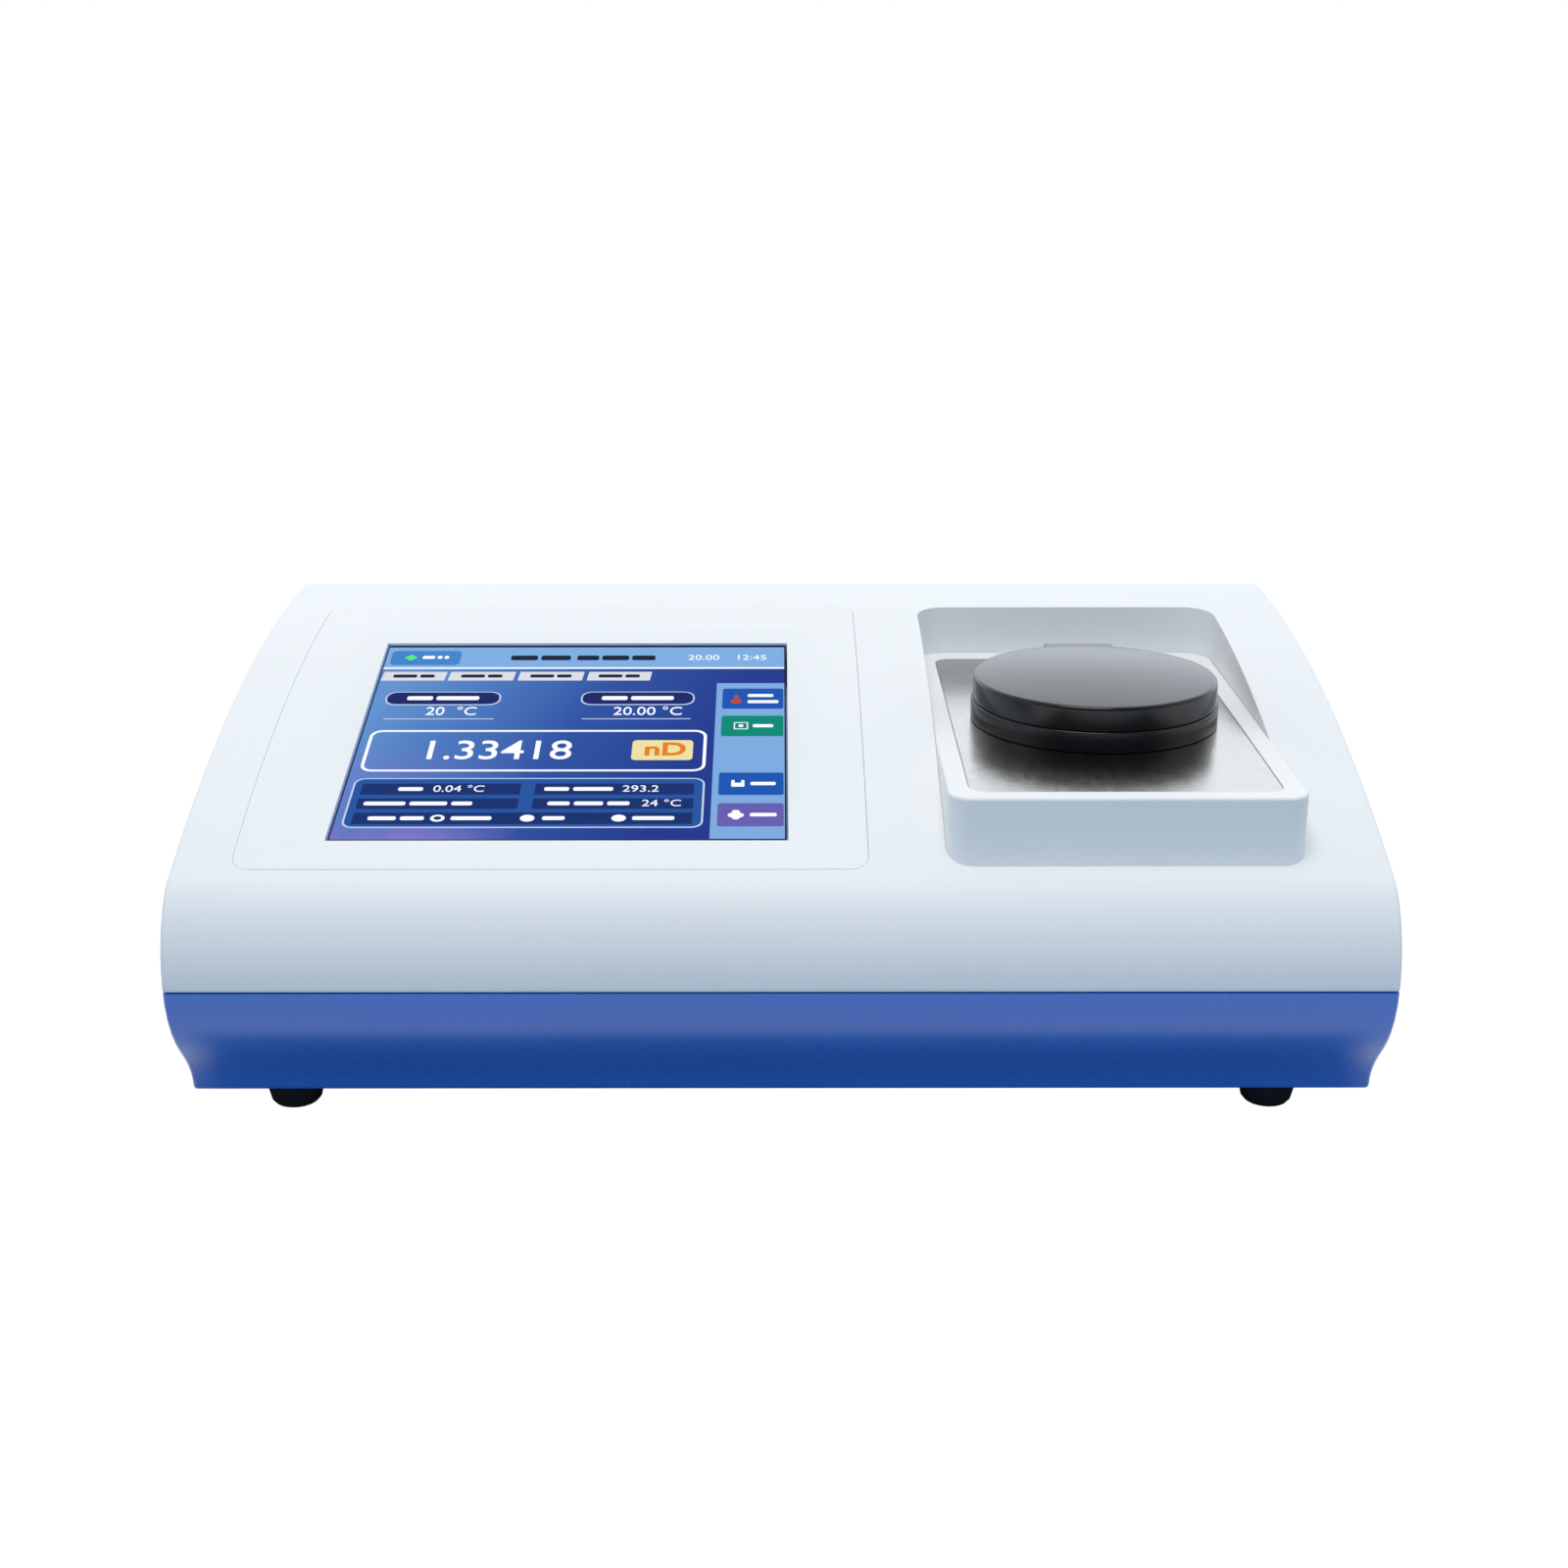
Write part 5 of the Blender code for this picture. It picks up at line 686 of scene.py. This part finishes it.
def screenPlane():
    # The glass gives the plane: its slope, its corner and its size
    mesh = frame["nodes"]["touch_glass"].data
    face = max(mesh.polygons, key=lambda polygon: polygon.area * polygon.normal.z)
    up = face.normal.copy()
    right = Vector((1, 0, 0))
    along = up.cross(right)
    spots = [(v.co.dot(right), v.co.dot(along), v.co.dot(up)) for v in mesh.vertices]
    low, high = (Vector(pick(row) for row in zip(*spots)) for pick in (min, max))
    turn = Matrix((right, along, up)).transposed().to_4x4()
    corner = turn @ Vector((low.x, low.y, high.z))
    return Matrix.Translation(corner) @ turn, (high - low) / mm


screenPlace, screenSize = screenPlane()
groundTop = -screenLook["layers"] * screenLook["layer"]


def level(count):
    # The ground lies under the top of the glass, and each layer a little over the one before
    return groundTop + screenLook["layer"] * count


def slab(bm, left, right, front, back, corner, top, thick=screenLook["thick"], lean=0.0):
    # A flat bar of the picture, from a cube with its upright edges rounded
    made = bmesh.ops.create_cube(bm, size=1.0)["verts"]
    bmesh.ops.scale(bm, vec=(right - left, back - front, thick), verts=made)
    middle = ((left + right) / 2, (front + back) / 2, top - thick / 2)
    bmesh.ops.translate(bm, vec=middle, verts=made)
    if lean:
        for vert in made:
            vert.co.x += lean * (vert.co.y - front) / (back - front)
    if corner:
        edges = {edge for vert in made for edge in vert.link_edges}
        upright = [e for e in edges if abs(e.verts[0].co.z - e.verts[1].co.z) > thick / 2]
        bmesh.ops.bevel(
            bm, geom=upright, offset=corner, segments=screenLook["cornerSteps"],
            profile=0.5, affect="EDGES", material=-1,
        )


def bars(bm, spans, front, back, corner, top):
    # Plain bars side by side, all in one row
    for left, right in spans:
        slab(bm, left, right, front, back, corner, top)


def disc(bm, x, y, wide, tall, top, steps=screenLook["discSteps"]):
    thick = screenLook["thick"]
    made = bmesh.ops.create_cone(
        bm, cap_ends=True, segments=steps, radius1=0.5, radius2=0.5, depth=thick
    )["verts"]
    bmesh.ops.scale(bm, vec=(wide, tall, 1), verts=made)
    bmesh.ops.translate(bm, vec=(x, y, top - thick / 2), verts=made)


def ring(bm, left, right, front, back, line, corner, top):
    # A thin outline: a rounded sheet, its inner part taken out, then given a thickness
    own = bmesh.new()
    made = bmesh.ops.create_grid(own, x_segments=1, y_segments=1, size=0.5)["verts"]
    bmesh.ops.scale(own, vec=(right - left, back - front, 1), verts=made)
    bmesh.ops.translate(own, vec=((left + right) / 2, (front + back) / 2, top), verts=made)
    bmesh.ops.bevel(
        own, geom=made, offset=corner, segments=screenLook["cornerSteps"], profile=0.5,
        affect="VERTICES", material=-1,
    )
    own.faces.ensure_lookup_table()
    sheet = own.faces[0]
    rim = bmesh.ops.inset_region(own, faces=[sheet], thickness=line, use_boundary=True)["faces"]
    bmesh.ops.delete(own, geom=[sheet], context="FACES_KEEP_BOUNDARY")
    grown = bmesh.ops.extrude_face_region(own, geom=rim, use_keep_orig=True)["geom"]
    lower = [item for item in grown if isinstance(item, bmesh.types.BMVert)]
    bmesh.ops.translate(own, vec=(0, 0, -screenLook["thick"]), verts=lower)
    outline = bpy.data.meshes.new("outline")
    own.to_mesh(outline)
    own.free()
    bm.from_mesh(outline)
    bpy.data.meshes.remove(outline)


def words(bm, text, x, y, tall, top, wide=1.0, bold=0.0):
    # Numbers and units, set in the built-in letters and made a mesh
    thick = screenLook["lettersThick"]
    data = bpy.data.curves.new("numbers", "FONT")
    data.body = text
    data.align_x = "CENTER"
    data.align_y = "CENTER"
    data.size = 1.0
    data.extrude = thick / 2
    data.offset = bold
    data.resolution_u = screenLook["lettersSteps"]
    drawn = bpy.data.objects.new("numbers", data)
    scene.collection.objects.link(drawn)
    bpy.context.view_layer.update()
    settled = drawn.evaluated_get(bpy.context.evaluated_depsgraph_get())
    mesh = bpy.data.meshes.new_from_object(settled)
    size = tall / screenLook["lettersTall"]
    spread = Matrix.Diagonal((size * wide, size, 1, 1))
    mesh.transform(Matrix.Translation((x, y, top - thick / 2)) @ spread)
    bm.from_mesh(mesh)
    bpy.data.objects.remove(drawn)
    bpy.data.curves.remove(data)
    bpy.data.meshes.remove(mesh)


def litFinish(name):
    return newFinish(
        name, Specular_IOR_Level=screenLook["gloss"], Emission_Strength=screenLook["glow"]
    )


def underGlow(wire, shader, share, colour):
    # The colour and the gloss that the lit picture has when its light is off
    low, high = (shade(colour, part) for part in screenLook["baseShades"])
    plug(wire.blend(share, low, high), shader, "Base Color")
    plug(share * screenLook["roughSpread"] + screenLook["roughness"], shader, "Roughness")


def litInk(name, colour):
    made, wire, shader = litFinish(name)
    dots = wire.noise(screenLook["dotScale"], screenLook["dotDetail"])
    low, high = shade(colour, screenLook["inkShade"]), colour4(colour)
    plug(wire.blend(dots, low, high), shader, "Emission Color")
    underGlow(wire, shader, dots, colour)
    return made


# Ground of the picture: lighter at the upper left, with violet swirls at the lower left
# and blue sparks low on the right
groundLook = {
    "base": (0.03, 0.08, 0.33),
    "stops": [
        (0.00, (0.125, 0.285, 0.600)), (0.25, (0.072, 0.185, 0.490)),
        (0.60, (0.026, 0.078, 0.330)), (1.00, (0.014, 0.034, 0.235)),
    ],
    "slant": (1.15, 0.35, 0.22),        # to the right, upwards, and at the corner
    "swirlScale": 16.0, "swirlDetail": 5.0, "swirlRough": 0.6, "swirlSpan": (0.30, 0.62),
    "violet": (0.200, 0.175, 0.530), "violetFades": (2.4, 2.2), "violetLevel": 2.2,
    "sparkColour": (0.07, 0.42, 0.75), "sparkScale": 70.0, "sparkDetail": 4.0,
    "sparkRough": 0.7, "sparkSpan": (0.60, 0.72), "sparkPlace": 0.72, "sparkFades": (6.0, 9.0),
}


def pictureBack(look):
    made, wire, shader = litFinish("screenGround")
    low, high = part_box("touch_glass")
    across = (wire.axis("X") - low.x) / (high.x - low.x)
    upward = (wire.axis("Y") - low.y) / (high.y - low.y)
    aside, climb, start = look["slant"]
    place = across * aside - upward * climb + start
    tone = wire.node("ShaderNodeValToRGB", {"stops": look["stops"]}, {0: place})
    swirl = wire.noise(look["swirlScale"], look["swirlDetail"], look["swirlRough"])
    wide, tall = look["violetFades"]
    corner = (1 - across * wide).clamped() * (1 - upward * tall).clamped()
    violet = (corner * look["violetLevel"] * swirl.smooth(look["swirlSpan"])).clamped()
    tone = wire.blend(violet, tone, colour4(look["violet"]))
    sparkle = wire.noise(look["sparkScale"], look["sparkDetail"], look["sparkRough"])
    wide, tall = look["sparkFades"]
    patch = (1 - abs(across - look["sparkPlace"]) * wide).clamped() * (1 - upward * tall).clamped()
    spark = sparkle.smooth(look["sparkSpan"]) * patch
    plug(wire.blend(spark, tone, colour4(look["sparkColour"])), shader, "Emission Color")
    underGlow(wire, shader, swirl, look["base"])
    return made


def onScreen(bm, name, finish, replaced=()):
    bmesh.ops.recalc_face_normals(bm, faces=bm.faces)
    bmesh.ops.scale(bm, vec=(mm, mm, mm), verts=bm.verts)
    bmesh.ops.transform(bm, matrix=screenPlace, verts=bm.verts)
    smooth = screenLook["smooth"]
    addPiece(bm, name, "case", finish, replaced, smooth, weighted=False)


screenLayers = {}


def ink(name):
    return screenLayers.setdefault(name, bmesh.new())


# The page, drawn from the head down. A bar or box is (left, right), (front, back) or all four,
# then its corners' radius where that is its own; a disc is its middle, its width and its height
shadowBorderLook = {"inset": 0.1, "side": 0.5, "bottom": 1.3, "top": 143.0}


def drawShadowBorder(look):
    # Dark line round the picture: partly the dark gap round the glass, partly painted shadow of the
    # recess wall, widest along the top
    bm = bmesh.new()
    inset = look["inset"]
    wide, tall = screenSize.x - inset, screenSize.y - inset
    slab(bm, inset, wide, look["top"], tall, 0, level(1))
    slab(bm, inset, wide, inset, look["bottom"], 0, level(1))
    for left in (inset, wide - look["side"]):
        slab(bm, left, left + look["side"], look["bottom"], look["top"], 0, level(1))
    onScreen(bm, "screenShadowLines", litInk("screenShadowLines", screenInk["dark"]))


headLook = {
    "strip": (0.6, 160.3, 122.4, 140.0, 0.2), "line": (0.6, 160.3, 122.3, 123.4, 0),
    "badge": (2.4, 30.4, 125.4, 137.0, 2.2), "lamp": (10.4, 131.4, 5.2, 5.0), "lampSteps": 4,
    "badgeBars": ((15.0, 20.0), (21.0, 23.0), (23.8, 25.6)), "badgeRow": (130.4, 132.8, 0.8),
    "titleBars": ((50.6, 61.4), (62.7, 74.6), (77.2, 86.0), (87.2, 98.0), (99.2, 108.6)),
    "titleRow": (129.3, 133.1, 1.0),
    "numbers": (("20.00", 128.0), ("12:45", 147.0)), "numbersRow": 131.3, "numbersTall": 4.0,
}


def drawHead(look):
    slab(ink("header"), *look["strip"], level(1))
    slab(ink("white"), *look["line"], level(2))
    slab(ink("badge"), *look["badge"], level(2))
    disc(ink("lamp"), *look["lamp"], level(3), look["lampSteps"])
    bars(ink("white"), look["badgeBars"], *look["badgeRow"], level(3))
    bars(ink("dark"), look["titleBars"], *look["titleRow"], level(2))
    for text, x in look["numbers"]:
        words(ink("white"), text, x, look["numbersRow"], look["numbersTall"], level(2))


tabLook = {
    "tabs": ((1.0, 26.0), (27.4, 53.2), (55.0, 80.4), (82.3, 107.2)), "row": (112.9, 119.8, 0.3),
    "lean": 0.6, "bars": ((-8.0, 1.5), (2.6, 8.4)), "barRow": (115.2, 117.6, 0.8),
}


def drawTabs(look):
    for left, right in look["tabs"]:
        slab(ink("tab"), left, right, *look["row"], level(1), lean=look["lean"])
        middle = (left + right) / 2
        spans = [(middle + start, middle + end) for start, end in look["bars"]]
        bars(ink("dark"), spans, *look["barRow"], level(2))


readingLook = {
    "readings": ((5.2, 50.0, "20  \u00b0C"), (81.2, 125.4, "20.00 \u00b0C")),
    "row": (93.6, 103.9), "corner": 4.2, "line": 0.6, "innerCorner": 3.8,
    "bars": ((-14.0, -4.0), (-2.6, 14.0)), "barRow": (97.3, 100.2, 0.9),
    "numberShift": 4.4, "numberRow": 88.6, "numberTall": 6.0, "numberWide": 0.86,
    "ruleEnds": (1.5, -1.0), "ruleRow": (82.8, 83.3, 0),
}


def drawReadings(look):
    # Two readings of the temperature, each a framed heading, a number and a rule under it
    (front, back), line = look["row"], look["line"]
    start, end = look["ruleEnds"]
    for left, right, text in look["readings"]:
        middle = (left + right) / 2
        slab(ink("soft"), left, right, front, back, look["corner"], level(1))
        slab(
            ink("navy"), left + line, right - line, front + line, back - line,
            look["innerCorner"], level(2),
        )
        spans = [(middle + first, middle + last) for first, last in look["bars"]]
        bars(ink("white"), spans, *look["barRow"], level(3))
        words(
            ink("white"), text, middle + look["numberShift"], look["numberRow"],
            look["numberTall"], level(2), look["numberWide"],
        )
        slab(ink("soft"), left + start, right + end, *look["ruleRow"], level(1))


resultLook = {
    "frame": (3.6, 131.0, 45.0, 74.6), "line": 1.2, "corner": 4.5,
    "number": ("1.33418", 52.4, 59.4, 13.0), "numberWide": 0.95, "numberBold": 0.004,
    "key": (103.2, 126.0, 52.9, 67.1, 1.8), "unit": ("nD", 115.6, 60.2, 8.8), "unitBold": 0.030,
}


def drawResult(look):
    ring(ink("white"), *look["frame"], look["line"], look["corner"], level(1))
    words(ink("white"), *look["number"], level(2), look["numberWide"], look["numberBold"])
    slab(ink("cream"), *look["key"], level(1))
    words(ink("orange"), *look["unit"], level(2), bold=look["unitBold"])


panelLook = {
    "outer": (3.2, 131.2, 7.2, 40.3, 4.0), "inner": (3.9, 130.5, 7.9, 39.6, 3.4),
    "rows": (
        (6.6, 64.4, 28.9, 36.3), (69.6, 127.4, 28.9, 36.3), (6.6, 64.4, 19.4, 26.3),
        (69.6, 127.4, 19.4, 26.3), (6.6, 127.4, 9.5, 16.9),
    ),
    "rowCorner": 0.4, "numbersTall": 4.2,
    "numbers": (
        ("0.04 \u00b0C", 42.0, 32.6), ("293.2", 108.0, 32.6), ("24 \u00b0C", 116.0, 22.9),
    ),
    "bars": (
        (32.6, ((20.0, 29.0), (73.0, 82.0), (83.5, 98.0))),
        (22.9, (
            (9.0, 24.0), (25.5, 39.0), (40.5, 48.0), (75.0, 83.0), (84.5, 95.0), (96.5, 104.5),
        )),
        (13.2, ((12.0, 22.0), (23.5, 32.0), (41.5, 56.0), (74.0, 82.0), (106.0, 121.0))),
    ),
    "barHalf": 1.2, "barCorner": 0.8,
    "dots": (36.8, 68.7, 101.2), "dotRow": 13.2, "dotSize": (5.2, 4.4), "holeSize": (2.8, 2.2),
}


def drawPanel(look):
    # The panel of smaller readings
    slab(ink("soft"), *look["outer"], level(1))
    slab(ink("panel"), *look["inner"], level(2))
    for row in look["rows"]:
        slab(ink("row"), *row, look["rowCorner"], level(3))
    for text, x, y in look["numbers"]:
        words(ink("white"), text, x, y, look["numbersTall"], level(4))
    half = look["barHalf"]
    for middle, spans in look["bars"]:
        bars(ink("white"), spans, middle - half, middle + half, look["barCorner"], level(4))
    for x in look["dots"]:
        disc(ink("white"), x, look["dotRow"], *look["dotSize"], level(4))
    disc(ink("row"), look["dots"][0], look["dotRow"], *look["holeSize"], level(5))


columnLook = {
    "strip": (133.8, 160.3, 0.2, 110.6, 0.2), "side": (136.2, 159.9), "corner": 1.0,
    "buttons": (
        ("blue", 90.6, 106.2), ("green", 70.0, 85.2), ("blue", 28.7, 43.9), ("purple", 8.0, 23.1),
    ),
    "cone": (141.6, 99.6, 2.6, 4.6), "coneSteps": 3, "dish": (141.6, 96.2, 4.6, 3.0),
    "dishSteps": 16, "upperBars": ((146.0, 156.0, 99.6, 101.8), (146.0, 158.0, 94.8, 97.0)),
    "barCorner": 0.7,
    "window": (141.0, 146.4, 75.0, 80.2), "windowLine": 0.45, "windowCorner": 0.4,
    "windowDot": (143.7, 77.6, 2.0, 2.0), "windowBar": (148.2, 156.0, 76.5, 78.7),
    "card": (140.8, 145.6, 34.2, 38.6, 0.4), "notch": (142.0, 144.4, 36.8, 38.6, 0.2),
    "cardBar": (147.8, 157.0, 35.2, 37.4),
    "petals": ((141.4, 15.2), (144.2, 15.2), (142.8, 17.2), (142.8, 13.8)),
    "petalSize": (3.0, 2.8), "petalSteps": 14, "lastBar": (147.8, 157.4, 14.4, 16.6),
}


def drawColumn(look):
    # The column of buttons, each with a small plain mark and a bar
    slab(ink("column"), *look["strip"], level(1))
    for name, front, back in look["buttons"]:
        slab(ink(name), *look["side"], front, back, look["corner"], level(2))
    disc(ink("red"), *look["cone"], level(3), look["coneSteps"])
    disc(ink("red"), *look["dish"], level(3), look["dishSteps"])
    for bar in look["upperBars"]:
        slab(ink("white"), *bar, look["barCorner"], level(3))
    ring(ink("white"), *look["window"], look["windowLine"], look["windowCorner"], level(3))
    disc(ink("white"), *look["windowDot"], level(3))
    slab(ink("white"), *look["windowBar"], look["barCorner"], level(3))
    slab(ink("white"), *look["card"], level(3))
    slab(ink("blue"), *look["notch"], level(4))
    slab(ink("white"), *look["cardBar"], look["barCorner"], level(3))
    for x, y in look["petals"]:
        disc(ink("white"), x, y, *look["petalSize"], level(3), look["petalSteps"])
    slab(ink("white"), *look["lastBar"], look["barCorner"], level(3))


def makeScreen():
    bm = bmesh.new()
    thick = screenSize.z + groundTop
    slab(bm, 0, screenSize.x, 0, screenSize.y, screenLook["corner"], groundTop, thick)
    onScreen(bm, "screenGround", pictureBack(groundLook), ["touch_glass"])
    drawShadowBorder(shadowBorderLook)
    drawHead(headLook)
    drawTabs(tabLook)
    drawReadings(readingLook)
    drawResult(resultLook)
    drawPanel(panelLook)
    drawColumn(columnLook)
    for name, layer in screenLayers.items():
        bmesh.ops.scale(layer, vec=(1, screenLook["stretch"], 1), verts=layer.verts)
        bmesh.ops.translate(layer, vec=(0, screenLook["lift"], 0), verts=layer.verts)
        onScreen(layer, f"screen_{name}", litInk(f"screen_{name}", screenInk[name]))


makeScreen()
print("the screen is lit")
